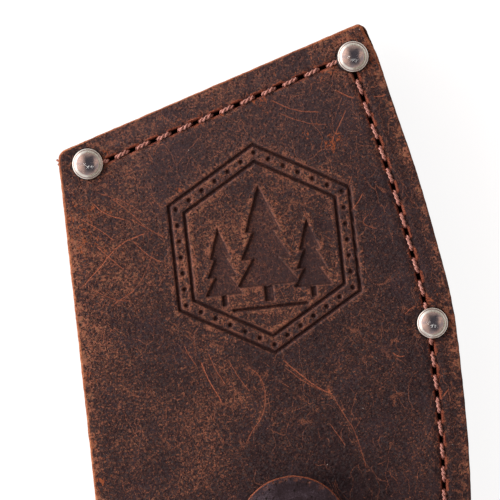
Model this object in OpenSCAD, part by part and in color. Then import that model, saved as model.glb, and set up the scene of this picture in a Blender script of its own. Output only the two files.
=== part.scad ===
// Leather sheath for the blade of a felling axe: two panels and a welt, sewn and riveted along
// the cutting edge and one end, with a strap and a press stud across the other end.
// It lies on its back. X runs from the open side to the cutting edge, Y towards the sewn end.

/* [Sheath outline] */
// Depth from the open side to the crown of the cutting-edge side
sheath_depth = 85; // [78:0.5:100]
// Length of the open side
open_side = 116; // [108:0.5:135]
// Slope of the closed end, in degrees
end_slope = 17; // [10:0.5:20]
// Radius of the curved cutting-edge side
edge_radius = 267; // [220:1:360]
// Drop from the closed end's open corner to the crown of the curved side
crown_drop = 65; // [55:0.5:75]
// Rounding of the closed end's open corner
open_corner_r = 3.4; // [2:0.1:5]
// Rounding of the back panel and welt at the closed end's other corner
edge_corner_r = 1.2; // [0.6:0.1:2.5]
// Rounding of the front panel at that corner, where the layers below peek out
front_corner_r = 3; // [2.6:0.1:4]
// Rounding of both corners at the strap end
strap_corner_r = 4; // [2:0.5:8]

/* [Leather layers] */
// Thickness of the front and the back panel
panel_t = 3; // [2.6:0.1:4]
// Thickness of the welt, which is the room for the blade
welt_t = 5; // [4.6:0.1:8]
// Width of the welt
welt_w = 12; // [11:0.5:16]
// Gap where the end welt meets the edge welt
welt_gap = 0.2; // [0.1:0.1:0.5]

/* [Seam] */
// Distance of the seam from the edge of the leather
seam_inset = 6; // [5.5:0.1:6.5]
// Longest wanted distance between two awl holes, before it is evened out
stitch_pitch = 5.25; // [4.6:0.05:6]
// Diameter of the thread on the surface
thread_d = 0.9; // [0.7:0.05:1]
// Diameter of the thread drawn tight inside the hole
tight_thread_d = 0.65; // [0.5:0.05:0.7]
// Length of an awl hole along the seam
awl_length = 2.3; // [2.1:0.1:2.6]
// Width of an awl hole
awl_width = 0.9; // [0.8:0.05:1.1]
// Depth of the groove that the stitches lie in
groove_depth = 0.6; // [0.4:0.05:0.9]
// Width of that groove
groove_w = 1.7; // [1.5:0.1:2]
// Turn of each stitch against the seam, in degrees
stitch_turn = 6; // [0:1:8]
// First awl hole after the open corner's rivet
lead_open_corner = 5.4; // [5:0.1:6]
// Last awl hole of the closed end before the edge corner's rivet
lead_edge_corner = 6.8; // [5:0.1:7]
// First awl hole of the curved side after the edge corner's rivet
lead_edge_start = 4.2; // [4.1:0.1:6]
// Awl holes on either side of the middle rivet
lead_middle = 5.5; // [5:0.1:6]
// Last awl hole before the strap end's rivet
lead_strap_end = 5; // [4.8:0.1:6]

/* [Rivets] */
// Diameter of a rivet cap
cap_d = 7; // [6.5:0.1:7.2]
// Height of the rim of a domed cap
cap_rim_h = 0.9; // [0.8:0.05:1.2]
// Height of the whole domed cap
cap_dome_h = 2; // [1.8:0.1:2.4]
// Diameter of the dome inside its rim
cap_dome_d = 5.8; // [5.4:0.1:6]
// Height of a flat cap
flat_cap_h = 1.1; // [1.1:0.05:1.5]
// Sheet thickness of the caps
cap_wall = 0.35; // [0.25:0.05:0.4]
// Outer diameter of the socket's tube
socket_d = 3; // [2.8:0.1:3.2]
// Outer diameter of the stem
stem_d = 2.2; // [1.8:0.1:2.3]
// Thickness of the flanges inside the caps
flange_t = 0.4; // [0.3:0.05:0.45]
// Clearance around tubes in leather and stems in sockets
rivet_clear = 0.05; // [0.03:0.01:0.1]
// Open corner's rivet: distance from the open side
open_rivet_from_side = 6.5; // [6:0.1:8]
// Open corner's rivet: distance from the closed end
open_rivet_from_end = 5; // [4.8:0.1:6]
// Edge corner's rivet: distance from the closed end
corner_rivet_from_end = 6.4; // [5.5:0.1:7]
// Rivets of the curved side: distance from the edge
edge_rivet_inset = 5.2; // [4.8:0.1:6]
// Strap end's rivet: distance from the strap end
last_rivet_from_end = 6.4; // [5.5:0.1:8]

/* [Strap] */
// Width of the strap
strap_w = 25; // [22:0.5:30]
// Thickness of the strap
strap_t = 2.5; // [2.2:0.1:3]
// Distance of the strap's middle from the open side
strap_from_side = 43.5; // [38:0.5:50]
// Clearance between the strap's bridge and the sheath's end
bridge_clear = 2; // [1:0.25:4]
// Running gap at each fold
fold_gap = 0.3; // [0.2:0.05:0.5]
// Strap rivet nearer the end: distance from the strap end
strap_rivet_near = 12; // [9:0.5:14]
// Distance between the two strap rivets
strap_rivet_spacing = 24; // [20:0.5:28]

/* [Press stud] */
// Distance of the press stud from the strap end
snap_from_end = 25.8; // [24:0.1:34]
// Room between flap and front panel, which the press stud fills
snap_gap = 3.5; // [3.5:0.1:4.5]
// Diameter of the press stud's cap
snap_cap_d = 12.4; // [11:0.1:14]
// Outer diameter of the socket
snap_socket_d = 9.8; // [9:0.1:10.5]
// Diameter of the stud's head
stud_head_d = 4.4; // [4:0.1:4.6]
// Diameter of the stud's neck
stud_neck_d = 3.4; // [3.2:0.1:3.6]
// Clearance around the stud's head inside the socket
snap_clear = 0.45; // [0.4:0.05:0.6]
// Outer diameter of the eyelet that holds the stud
eyelet_d = 2.4; // [2.2:0.1:2.5]
// Outer diameter of the cap's post
post_d = 3.6; // [3.2:0.1:3.8]
// Wire diameter of the spring ring
spring_wire_d = 0.6; // [0.5:0.05:0.65]

/* [Stamp] */
// Distance from the stamp's middle to a corner of its hexagon
stamp_r = 24; // [18:0.5:26]
// Stamp's middle: distance from the open side
stamp_from_side = 44; // [40:0.5:48]
// Stamp's middle: distance below the closed end's open corner
stamp_drop = 26.5; // [24:0.5:34]
// Depth of the stamp
stamp_depth = 0.4; // [0.2:0.05:0.6]
// Width of the stamp's lines
stamp_line = 0.8; // [0.6:0.1:1.2]

/* [Hidden] */
RIVETS = ["open_corner_rivet", "edge_corner_rivet", "middle_rivet", "strap_end_rivet"];
STRAP_RIVETS = ["strap_near_rivet", "strap_far_rivet"];
SEAMS = ["end_seam", "upper_edge_seam", "lower_edge_seam"];
LAYERS = ["front_panel", "back_panel", "edge_welt", "end_welt"];
STRAP = ["strap_root", "strap_bridge", "strap_flap"];
SNAP = ["snap_cap", "snap_socket", "snap_spring", "snap_stud", "snap_eyelet"];

oiled_brown = "#43302b";
welt_brown = "#5a3524";
strap_brown = "#37302f";
thread_brown = "#9a6250";
nickel = "#c9c6c1";
spring_steel = "#8f9194";

through = 1; // how far a cut runs past the faces it goes through
fine = 64; // smoothness of small rounds
very_fine = 256; // smoothness of the long curve

// Heights of the faces, from the surface that the sheath lies on
z_strap_root = flat_cap_h;
z_back = z_strap_root + strap_t;
z_welt = z_back + panel_t;
z_front_inner = z_welt + welt_t;
z_front = z_front_inner + panel_t;
z_middle = (z_back + z_front) / 2;
z_flap = z_front + snap_gap;
z_flap_top = z_flap + strap_t;

// The outline starts at the closed end's open corner, [0, 0]
end_along = [cos(end_slope), sin(end_slope)];
end_out = [-sin(end_slope), cos(end_slope)];
edge_centre = [sheath_depth - edge_radius, -crown_drop];

// Length of the vector from the curved side's centre
function from_centre(p) = norm(p - edge_centre);

// Direction seen from the curved side's centre, in degrees
function bearing(p) = atan2(p.y - edge_centre.y, p.x - edge_centre.x);

// Point at one distance inside the closed end and another inside the curved side
function near_corner(from_end, from_edge) =
  let (
    q = edge_centre + from_end * end_out,
    along = end_along * q,
    t = along + sqrt(along * along - q * q + pow(edge_radius - from_edge, 2))
  ) t * end_along - from_end * end_out;

// Point at one distance inside the open side and another inside the closed end
function near_open_corner(from_side, from_end) =
  let (t = (from_side - from_end * sin(end_slope)) / cos(end_slope))
  t * end_along - from_end * end_out;

// Point at one distance inside the strap end and another inside the curved side
function near_strap_corner(from_end, from_edge) =
  let (y = from_end - open_side)
  [edge_centre.x + sqrt(pow(edge_radius - from_edge, 2) - pow(y - edge_centre.y, 2)), y];

function arc(centre, radius, from, to, steps) =
  [for (i = [0:steps]) let (a = from + (to - from) * i / steps) centre + radius * [cos(a), sin(a)]];

// The sheath's outline, with its own rounding at the closed end's edge corner
function outline(corner_r) =
  let (
    corner = near_corner(corner_r, corner_r),
    low_corner = near_strap_corner(strap_corner_r, strap_corner_r)
  ) concat(
    arc(near_open_corner(open_corner_r, open_corner_r), open_corner_r, 180, 90 + end_slope, 6),
    arc(corner, corner_r, 90 + end_slope, bearing(corner), 6),
    arc(edge_centre, edge_radius, bearing(corner), bearing(low_corner), 24),
    arc(low_corner, strap_corner_r, bearing(low_corner), -90, 6),
    arc([strap_corner_r, strap_corner_r - open_side], strap_corner_r, -90, -180, 6)
  );

// The frame's origin is the middle of the whole object's footprint
crest = near_corner(edge_corner_r, edge_corner_r).y + edge_corner_r;
strap_reach = bridge_clear + strap_t;
origin = [-sheath_depth / 2, (open_side + strap_reach - crest) / 2];

// Rivets through the whole stack, in the order of RIVETS
first_rivet = near_open_corner(open_rivet_from_side, open_rivet_from_end);
corner_rivet = near_corner(corner_rivet_from_end, edge_rivet_inset);
last_rivet = near_strap_corner(last_rivet_from_end, edge_rivet_inset);
middle_bearing = (bearing(corner_rivet) + bearing(last_rivet)) / 2;
middle_rivet = edge_centre
  + (edge_radius - edge_rivet_inset) * [cos(middle_bearing), sin(middle_bearing)];
rivet_places = [first_rivet, corner_rivet, middle_rivet, last_rivet];

// Strap and press stud
snap_place = [strap_from_side, snap_from_end - open_side];
strap_rivet_places = [
  for (from_end = [strap_rivet_near, strap_rivet_near + strap_rivet_spacing])
    [strap_from_side, from_end - open_side]
];
fold_y = -open_side - bridge_clear - strap_t / 2;
root_fold_z = z_strap_root + strap_t / 2;
flap_fold_z = z_flap + strap_t / 2;
strap_start_y = fold_y + strap_t / 2 + fold_gap;

// Seams: each has a start and an end, measured along it between the rivets' leads
seam_radius = edge_radius - seam_inset;
corner_bearing = bearing(corner_rivet);
function along_edge(p) = (corner_bearing - bearing(p)) * PI / 180 * seam_radius;
seam_rivets = [
  [first_rivet * end_along, corner_rivet * end_along],
  [0, along_edge(middle_rivet)],
  [along_edge(middle_rivet), along_edge(last_rivet)]
];
seam_leads = [
  [lead_open_corner, lead_edge_corner],
  [lead_edge_start, lead_middle],
  [lead_middle, lead_strap_end]
];
function first_hole(seam) = seam_rivets[seam][0] + seam_leads[seam][0];
function last_hole(seam) = seam_rivets[seam][1] - seam_leads[seam][1];
function stitches(seam) = ceil((last_hole(seam) - first_hole(seam)) / stitch_pitch - 0.1);
function hole_at(seam, i) =
  first_hole(seam) + (last_hole(seam) - first_hole(seam)) * i / stitches(seam);

// Place of a point on a seam: [x, y, direction in degrees]
function on_seam(seam, s) =
  seam == 0
    ? let (p = s * end_along - seam_inset * end_out) [p.x, p.y, end_slope]
    : let (a = corner_bearing - s / seam_radius * 180 / PI)
      [edge_centre.x + seam_radius * cos(a), edge_centre.y + seam_radius * sin(a), a - 90];

leg_offset = (awl_length - tight_thread_d) / 2 - 0.1;
cap_margin = 0.15; // gap between a stitch and the rim of a cap
shortest_stub = 0.8; // a shorter end of thread stays hidden in its hole

// Heights inside the press stud, above the front panel
stud_flange_t = 0.5;
stud_head_z = 1.5;
stud_top_z = 2.45;
socket_z = 0.7;
socket_roof_t = 0.5;
socket_room_r = stud_head_d / 2 + snap_clear;
spring_z = socket_z + 0.4;
spring_grip = 0.2; // how far the spring ring stands into the socket's hollow
curl_t = 0.3;

module place(z) translate([origin.x, origin.y, z]) children();

module at(p, z = 0) translate([p.x, p.y, z]) children();

// --- Leather ---

module awl_hole(height) {
  translate([0, 0, -through]) linear_extrude(height + 2 * through) {
    square([awl_length - awl_width, awl_width], center = true);
    for (side = [-1, 1])
      translate([side * (awl_length - awl_width) / 2, 0]) circle(d = awl_width, $fn = 24);
  }
}

module awl_holes(height) {
  for (seam = [0:2])
    for (i = [0:stitches(seam)])
      let (p = on_seam(seam, hole_at(seam, i)))
        at(p) rotate(p.z) awl_hole(height);
}

module rivet_bores(height) {
  for (p = rivet_places)
    at(p, -through) cylinder(r = socket_d / 2 + rivet_clear, h = height + 2 * through, $fn = fine);
}

module end_groove() {
  from = on_seam(0, seam_rivets[0][0]);
  length = seam_rivets[0][1] - seam_rivets[0][0];
  at(from) rotate(end_slope) translate([0, -groove_w / 2]) square([length, groove_w]);
}

module edge_groove() {
  reach = edge_radius * 1.05;
  intersection() {
    translate(edge_centre) difference() {
      circle(seam_radius + groove_w / 2, $fn = very_fine);
      circle(seam_radius - groove_w / 2, $fn = very_fine);
    }
    polygon([
      edge_centre,
      edge_centre + reach * [cos(corner_bearing), sin(corner_bearing)],
      edge_centre + reach * [cos(bearing(last_rivet)), sin(bearing(last_rivet))]
    ]);
  }
}

module grooves() {
  linear_extrude(groove_depth + through) end_groove();
  linear_extrude(groove_depth + through) edge_groove();
}

module fir_tree(height, width) {
  tier_h = 0.4 * height;
  trunk_h = 0.14 * height;
  for (tier = [0:2])
    translate([0, trunk_h + tier * 0.23 * height])
      polygon([[-width / 2 * (1 - 0.22 * tier), 0], [width / 2 * (1 - 0.22 * tier), 0], [0, tier_h]]);
  translate([-width / 14, 0]) square([width / 7, trunk_h]);
}

module hexagon_line(r) {
  rotate(30) difference() {
    circle(r, $fn = 6);
    circle(r - stamp_line / cos(30), $fn = 6);
  }
}

module stamp() {
  ground = -0.5 * stamp_r;
  at([stamp_from_side, -stamp_drop]) linear_extrude(stamp_depth + through) {
    hexagon_line(stamp_r);
    hexagon_line(0.84 * stamp_r);
    translate([0, ground]) fir_tree(1.1 * stamp_r, 0.6 * stamp_r);
    for (side = [-1, 1])
      translate([side * 0.42 * stamp_r, ground]) fir_tree(0.74 * stamp_r, 0.36 * stamp_r);
    translate([-0.36 * stamp_r, ground - 2 * stamp_line]) square([0.72 * stamp_r, stamp_line]);
  }
}

module front_panel() {
  color(oiled_brown) place(z_front_inner) difference() {
    linear_extrude(panel_t) polygon(outline(front_corner_r));
    awl_holes(panel_t);
    rivet_bores(panel_t);
    translate([0, 0, panel_t - groove_depth]) grooves();
    translate([0, 0, panel_t - stamp_depth]) stamp();
    at(snap_place, -through)
      cylinder(r = eyelet_d / 2 + rivet_clear, h = panel_t + 2 * through, $fn = fine);
  }
}

module back_panel() {
  color(oiled_brown) place(z_back) difference() {
    linear_extrude(panel_t) polygon(outline(edge_corner_r));
    awl_holes(panel_t);
    rivet_bores(panel_t);
    translate([0, 0, groove_depth]) mirror([0, 0, 1]) grooves();
    for (p = strap_rivet_places)
      at(p, -through)
        cylinder(r = socket_d / 2 + rivet_clear, h = panel_t + 2 * through, $fn = fine);
  }
}

module edge_welt() {
  color(welt_brown) place(z_welt) difference() {
    linear_extrude(welt_t) polygon(outline(edge_corner_r));
    at(edge_centre, -through)
      cylinder(r = edge_radius - welt_w, h = welt_t + 2 * through, $fn = very_fine);
    awl_holes(welt_t);
    rivet_bores(welt_t);
  }
}

module end_welt() {
  reach = 2 * sheath_depth;
  color(welt_brown) place(z_welt) difference() {
    intersection() {
      linear_extrude(welt_t) polygon(outline(edge_corner_r));
      at(edge_centre)
        cylinder(r = edge_radius - welt_w - welt_gap, h = welt_t, $fn = very_fine);
    }
    translate([0, 0, -through]) rotate(end_slope)
      translate([-reach / 2, -welt_w - 2 * open_side])
        cube([reach, 2 * open_side, welt_t + 2 * through]);
    awl_holes(welt_t);
    rivet_bores(welt_t);
  }
}

// --- Threads ---

// A straight stretch of thread that lies along a seam, centred at height z
module stitch(seam, from, to, z) {
  a = on_seam(seam, from);
  b = on_seam(seam, to);
  direction = atan2(b.y - a.y, b.x - a.x);
  translate([(a.x + b.x) / 2, (a.y + b.y) / 2, z])
    rotate([0, 90, direction + stitch_turn])
      cylinder(d = thread_d, h = norm([b.x - a.x, b.y - a.y]), center = true, $fn = fine / 2);
}

// The loop that one thread draws down through a hole, from z_top to the middle of the stack
module locked_loop(seam, s, z_top) {
  link_d = tight_thread_d - 0.05;
  z_link = z_middle + (z_top > z_middle ? 1 : -1) * (link_d / 2 + 0.05);
  for (side = [-1, 1])
    let (p = on_seam(seam, s + side * leg_offset))
      at(p, min(z_link, z_top))
        cylinder(d = tight_thread_d, h = abs(z_top - z_link), $fn = fine / 2);
  let (p = on_seam(seam, s))
    at(p, z_link) rotate([0, 90, p.z])
      cylinder(d = link_d, h = 2 * leg_offset, center = true, $fn = fine / 2);
}

module thread(seam, z) {
  overlap = tight_thread_d / 2;
  rim = cap_d / 2 + cap_margin;
  start = seam_rivets[seam][0] + rim;
  finish = seam_rivets[seam][1] - rim;
  color(thread_brown) place(0) {
    for (i = [0:stitches(seam)]) locked_loop(seam, hole_at(seam, i), z);
    for (i = [0:stitches(seam) - 1])
      stitch(
        seam, hole_at(seam, i) + leg_offset - overlap, hole_at(seam, i + 1) - leg_offset + overlap, z
      );
    if (first_hole(seam) - leg_offset - start > shortest_stub)
      stitch(seam, start, first_hole(seam) - leg_offset + overlap, z);
    if (finish - last_hole(seam) - leg_offset > shortest_stub)
      stitch(seam, last_hole(seam) + leg_offset - overlap, finish, z);
  }
}

module front_thread(seam) thread(seam, z_front - groove_depth + thread_d / 2);

module back_thread(seam) thread(seam, z_back + groove_depth - thread_d / 2);

// --- Double-cap rivets, standing on a face at z = 0 ---

flange_r = cap_d / 2 - cap_wall - 0.25;
head_t = 0.3; // thickness of the stem's spread head

// A hollow dome with a stepped rim, drawn from one sheet
module domed_shell(rim_d, rim_h, dome_d, height, wall) {
  rise = height - rim_h;
  dome_r = (dome_d * dome_d / 4 + rise * rise) / (2 * rise);
  room_h = rim_h - wall;
  difference() {
    union() {
      cylinder(d = rim_d, h = rim_h, $fn = fine);
      intersection() {
        translate([0, 0, height - dome_r]) sphere(dome_r, $fn = 2 * fine);
        translate([0, 0, room_h]) cylinder(d = dome_d + wall, h = height, $fn = fine);
      }
    }
    translate([0, 0, -through])
      cylinder(d = rim_d - 2 * wall, h = room_h + through, $fn = fine);
    intersection() {
      translate([0, 0, height - dome_r]) sphere(dome_r - wall, $fn = 2 * fine);
      translate([0, 0, room_h / 2]) cylinder(d = dome_d - wall, h = height, $fn = fine);
    }
  }
}

module flat_cap() {
  bevel = 0.4;
  difference() {
    union() {
      cylinder(d = cap_d, h = flat_cap_h - bevel, $fn = fine);
      translate([0, 0, flat_cap_h - bevel])
        cylinder(d1 = cap_d, d2 = cap_d - 2 * bevel, h = bevel, $fn = fine);
    }
    translate([0, 0, -through])
      cylinder(d = cap_d - 2 * cap_wall, h = flat_cap_h - cap_wall + through, $fn = fine);
  }
}

module rivet_cap(p) {
  color(nickel) place(0) at(p, z_front)
    domed_shell(cap_d, cap_rim_h, cap_dome_d, cap_dome_h, cap_wall);
}

module rivet_flat_cap(p, z, up) {
  color(nickel) place(0) at(p, z) mirror([0, 0, up ? 0 : 1]) flat_cap();
}

// The socket hangs from its flange on the upper face and ends short of the lower one
module rivet_socket(p, z_low, z_high) {
  short = 1;
  color(nickel) place(0) at(p) difference() {
    union() {
      translate([0, 0, z_low + short])
        cylinder(d = socket_d, h = z_high - z_low - short, $fn = fine);
      translate([0, 0, z_high]) cylinder(r = flange_r, h = flange_t, $fn = fine);
    }
    translate([0, 0, z_low])
      cylinder(r = stem_d / 2 + rivet_clear, h = z_high - z_low + flange_t + through, $fn = fine);
  }
}

// The stem stands on its flange under the lower face, and its end is spread over the socket
module rivet_stem(p, z_low, z_high) {
  length = z_high - z_low + flange_t;
  color(nickel) place(0) at(p) {
    translate([0, 0, z_low - flange_t]) cylinder(r = flange_r, h = flange_t, $fn = fine);
    translate([0, 0, z_low]) cylinder(d = stem_d, h = length + head_t, $fn = fine);
    translate([0, 0, z_low + length]) cylinder(d = stem_d + 1, h = head_t, $fn = fine);
  }
}

// --- Strap ---

module strap_end_shape(from_y, round_y) {
  translate([strap_from_side - strap_w / 2, from_y]) square([strap_w, round_y - from_y]);
  translate([strap_from_side, round_y]) circle(d = strap_w, $fn = 2 * fine);
}

module strap_root() {
  color(strap_brown) place(z_strap_root) difference() {
    linear_extrude(strap_t) strap_end_shape(strap_start_y, strap_rivet_places[1].y);
    for (p = strap_rivet_places)
      at(p, -through)
        cylinder(r = socket_d / 2 + rivet_clear, h = strap_t + 2 * through, $fn = fine);
  }
}

module strap_bridge() {
  left = strap_from_side - strap_w / 2;
  color(strap_brown) place(0) {
    translate([left, fold_y - strap_t / 2, root_fold_z])
      cube([strap_w, strap_t, flap_fold_z - root_fold_z]);
    for (z = [root_fold_z, flap_fold_z])
      translate([left, fold_y, z]) rotate([0, 90, 0]) cylinder(d = strap_t, h = strap_w, $fn = fine);
  }
}

module strap_flap() {
  color(strap_brown) place(z_flap) difference() {
    linear_extrude(strap_t) strap_end_shape(strap_start_y, snap_place.y);
    at(snap_place, -through)
      cylinder(r = post_d / 2 + rivet_clear, h = strap_t + 2 * through, $fn = fine);
  }
}

// --- Press stud ---

module snap_cap() {
  rim_h = 0.9;
  height = 2.1;
  wall = 0.4;
  post_h = strap_t + socket_roof_t;
  color(nickel) place(z_flap_top) at(snap_place) difference() {
    union() {
      domed_shell(snap_cap_d, rim_h, snap_cap_d - 1.2, height, wall);
      cylinder(d = snap_cap_d - wall, h = wall, $fn = fine);
      translate([0, 0, -post_h]) cylinder(d = post_d, h = post_h + wall, $fn = fine);
      translate([0, 0, -post_h - curl_t]) cylinder(d = post_d + 0.9, h = curl_t, $fn = fine);
    }
    translate([0, 0, -post_h - curl_t - through])
      cylinder(d = post_d - 2 * wall, h = post_h + curl_t + through, $fn = fine);
  }
}

module snap_socket() {
  groove_h = spring_wire_d + 0.1;
  groove_r = socket_room_r - spring_grip + spring_wire_d + 0.1;
  height = snap_gap - socket_z;
  color(nickel) place(z_front + socket_z) at(snap_place) difference() {
    cylinder(d = snap_socket_d, h = height, $fn = fine);
    translate([0, 0, -through])
      cylinder(r = socket_room_r, h = height - socket_roof_t + through, $fn = fine);
    translate([0, 0, spring_z - socket_z]) cylinder(r = groove_r, h = groove_h, $fn = fine);
    cylinder(r = post_d / 2 + rivet_clear, h = height + through, $fn = fine);
  }
}

module snap_spring() {
  split = 1;
  ring_r = socket_room_r - spring_grip + spring_wire_d / 2;
  color(spring_steel)
    place(z_front + spring_z + spring_wire_d / 2 + 0.05) at(snap_place) difference() {
      rotate_extrude($fn = fine) translate([ring_r, 0]) circle(d = spring_wire_d, $fn = 24);
      translate([0, -split / 2, -through]) cube([2 * ring_r, split, 2 * through]);
    }
}

module snap_stud() {
  wall = 0.35;
  color(nickel) place(z_front) at(snap_place) difference() {
    union() {
      cylinder(d = 8, h = stud_flange_t, $fn = fine);
      cylinder(d = stud_neck_d, h = stud_head_z, $fn = fine);
      translate([0, 0, stud_head_z])
        cylinder(d = stud_head_d, h = (stud_top_z - stud_head_z) / 2, $fn = fine);
      translate([0, 0, (stud_top_z + stud_head_z) / 2])
        cylinder(
          d1 = stud_head_d, d2 = stud_head_d - 1, h = (stud_top_z - stud_head_z) / 2, $fn = fine
        );
    }
    translate([0, 0, -through])
      cylinder(r = eyelet_d / 2 + rivet_clear, h = stud_top_z - wall + through, $fn = fine);
  }
}

module snap_eyelet() {
  length = panel_t + stud_head_z;
  color(nickel) place(z_front_inner) at(snap_place) difference() {
    union() {
      translate([0, 0, -stud_flange_t]) cylinder(d = 7, h = stud_flange_t, $fn = fine);
      cylinder(d = eyelet_d, h = length, $fn = fine);
    }
    translate([0, 0, -stud_flange_t - through])
      cylinder(d = eyelet_d - 0.8, h = length + stud_flange_t + 2 * through, $fn = fine);
  }
}

front_panel();
back_panel();
edge_welt();
end_welt();
for (seam = [0:2]) {
  front_thread(seam);
  back_thread(seam);
}
for (i = [0:3]) {
  rivet_cap(rivet_places[i]);
  rivet_socket(rivet_places[i], z_back, z_front);
  rivet_stem(rivet_places[i], z_back, z_front);
  rivet_flat_cap(rivet_places[i], z_back, false);
}
for (i = [0:1]) {
  rivet_flat_cap(strap_rivet_places[i], z_welt, true);
  rivet_socket(strap_rivet_places[i], z_strap_root, z_welt);
  rivet_stem(strap_rivet_places[i], z_strap_root, z_welt);
  rivet_flat_cap(strap_rivet_places[i], z_strap_root, false);
}
strap_root();
strap_bridge();
strap_flap();
snap_cap();
snap_socket();
snap_spring();
snap_stud();
snap_eyelet();
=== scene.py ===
from functools import reduce
from math import atan2, ceil, cos, pi, radians, sin, sqrt, tan

import bpy
import numpy as np
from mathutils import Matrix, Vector


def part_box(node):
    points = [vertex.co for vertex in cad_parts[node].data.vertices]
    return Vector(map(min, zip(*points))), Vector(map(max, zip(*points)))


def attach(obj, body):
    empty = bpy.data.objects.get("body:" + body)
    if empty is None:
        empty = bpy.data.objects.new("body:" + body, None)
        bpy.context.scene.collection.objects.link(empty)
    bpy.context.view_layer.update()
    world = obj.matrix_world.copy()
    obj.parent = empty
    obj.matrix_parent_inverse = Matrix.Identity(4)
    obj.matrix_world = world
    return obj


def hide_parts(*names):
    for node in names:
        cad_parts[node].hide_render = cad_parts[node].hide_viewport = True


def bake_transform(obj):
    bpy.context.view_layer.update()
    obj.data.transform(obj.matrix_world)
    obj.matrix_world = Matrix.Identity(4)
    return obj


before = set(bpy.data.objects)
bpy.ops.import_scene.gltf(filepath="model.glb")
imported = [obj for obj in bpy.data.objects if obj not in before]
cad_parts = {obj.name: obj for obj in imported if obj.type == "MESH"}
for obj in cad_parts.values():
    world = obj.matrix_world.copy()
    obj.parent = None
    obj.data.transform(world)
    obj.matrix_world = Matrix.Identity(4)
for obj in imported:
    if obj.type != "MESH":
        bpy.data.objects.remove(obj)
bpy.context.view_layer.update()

# Sizes in millimetres. "Flat" places are [x, y] from the closed end's open
# corner, x towards the cutting-edge side and y towards the closed end.

SHEATH_DEPTH, OPEN_SIDE, SLOPE = 85.0, 116.0, radians(17)
EDGE_R, CROWN_DROP = 267.0, 65.0
OPEN_CORNER_R, STRAP_CORNER_R = 2.5, 4.0
FRONT_CORNER_R, UNDER_CORNER_R = 1.2, 2.2  # the edge corner of the front panel, and of the layers under it
FRONT_SETBACK, SETBACK_RUN = 0.75, (2.0, 8.5)  # the front panel's edge corner lies this far behind them
CORNER_BULGE, CORNER_BULGE_RUN = 1.2, 24.0  # by hand the curve was cut fuller at its corner
RIVET_BULGE, RIVET_BULGE_AT, RIVET_BULGE_W = 0.55, 67.0, 12.0  # and near its middle rivet
BULGE_DEPTH = 26.0  # how far inside the curve the leather takes part in this
WELT_W, WELT_GAP, WELT_STEP = 12.0, 0.2, 0.6
SEAM_INSET, STITCH_PITCH = 6.0, 5.25
SEAM_LEADS = [(5.4, 6.8), (4.2, 5.5), (5.5, 5.0)]  # from a seam's rivets to its first and last awl hole
AWL_LENGTH, AWL_WIDTH = 2.5, 0.8
AWL_OPEN = 0.02  # each side of an awl hole has been dragged open this far
GROOVE_DEPTH, THREAD_D = 0.6, 0.9
STITCH_TURN = radians(6)
CAP_R, RIVET_CROWN, FLAT_CAP_H = 3.5, 2.0, 1.1
SNAP_R, SNAP_CROWN = 6.2, 2.1
STAMP_R, STAMP_LINE, STAMP_DEPTH = 24.0, 0.8, 0.4
STAMP_MIDDLE = np.array([44.0, -26.5])
STAMP_DOT_D, STAMP_DOTS_A_SIDE = 1.1, 6
STAMP_INNER, STAMP_DOT_RING = 0.84 * STAMP_R, 0.905 * STAMP_R

END_ALONG = np.array([cos(SLOPE), sin(SLOPE)])
END_OUT = np.array([-sin(SLOPE), cos(SLOPE)])
END_ANGLE = pi / 2 + SLOPE
EDGE_CENTRE = np.array([SHEATH_DEPTH - EDGE_R, -CROWN_DROP])


def box_mm(node):
    lo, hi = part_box(node)
    return np.array(lo) * 1000, np.array(hi) * 1000


front_lo, front_hi = box_mm("front_panel")
back_lo, back_hi = box_mm("back_panel")
ORIGIN = np.array([front_lo[0], front_lo[1] + OPEN_SIDE])
Z_INNER, Z_FRONT = front_lo[2], front_hi[2]
Z_BACK, Z_WELT = back_lo[2], back_hi[2]


def middle_of(node):
    lo, hi = box_mm(node)
    return ((lo + hi) / 2)[:2] - ORIGIN


def in_row(points, z=0.0):
    """Flat points, moved to where the sheath lies in the row frame."""
    return points + [ORIGIN[0], ORIGIN[1], z]


RIVETS = ["open_corner_rivet", "edge_corner_rivet", "middle_rivet", "strap_end_rivet"]
STRAP_RIVETS = ["strap_near_rivet", "strap_far_rivet"]
RIVET_PLACES = [middle_of(name + "_cap") for name in RIVETS]
STRAP_RIVET_PLACES = [middle_of(name + "_outer_cap") for name in STRAP_RIVETS]
SNAP_PLACE = middle_of("snap_cap")


def bearing(p):
    return atan2(p[1] - EDGE_CENTRE[1], p[0] - EDGE_CENTRE[0])


def unit(angle):
    return np.array([cos(angle), sin(angle)])


def arc(centre, radius, start, stop, steps):
    angles = np.linspace(start, stop, steps + 1)
    return centre + radius * np.stack([np.cos(angles), np.sin(angles)], axis=1)


def near_corner(from_end, from_edge):
    q = EDGE_CENTRE + from_end * END_OUT
    along = END_ALONG @ q
    t = along + sqrt(along * along - q @ q + (EDGE_R - from_edge) ** 2)
    return t * END_ALONG - from_end * END_OUT


def near_open_corner(from_side, from_end):
    t = (from_side - from_end * sin(SLOPE)) / cos(SLOPE)
    return t * END_ALONG - from_end * END_OUT


def near_strap_corner(from_end, from_edge):
    y = from_end - OPEN_SIDE
    reach = sqrt((EDGE_R - from_edge) ** 2 - (y - EDGE_CENTRE[1]) ** 2)
    return np.array([EDGE_CENTRE[0] + reach, y])


def smooth(x, lo=0.0, hi=1.0):
    t = np.clip((x - lo) / (hi - lo), 0, 1)
    return t * t * (3 - 2 * t)


def norms(vectors):
    """Length of each vector."""
    return np.linalg.norm(vectors, axis=-1)


def bell(x, width):
    return np.exp(-((x / width) ** 2))


def edge_run(points):
    """(distance along the curved side from its corner, depth inside it, direction out of it)."""
    spoke = points - EDGE_CENTRE
    radius = norms(spoke)
    run = (bearing(near_corner(0, 0)) - np.arctan2(spoke[:, 1], spoke[:, 0])) * EDGE_R
    return run, EDGE_R - radius, spoke / radius[:, None]


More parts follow.
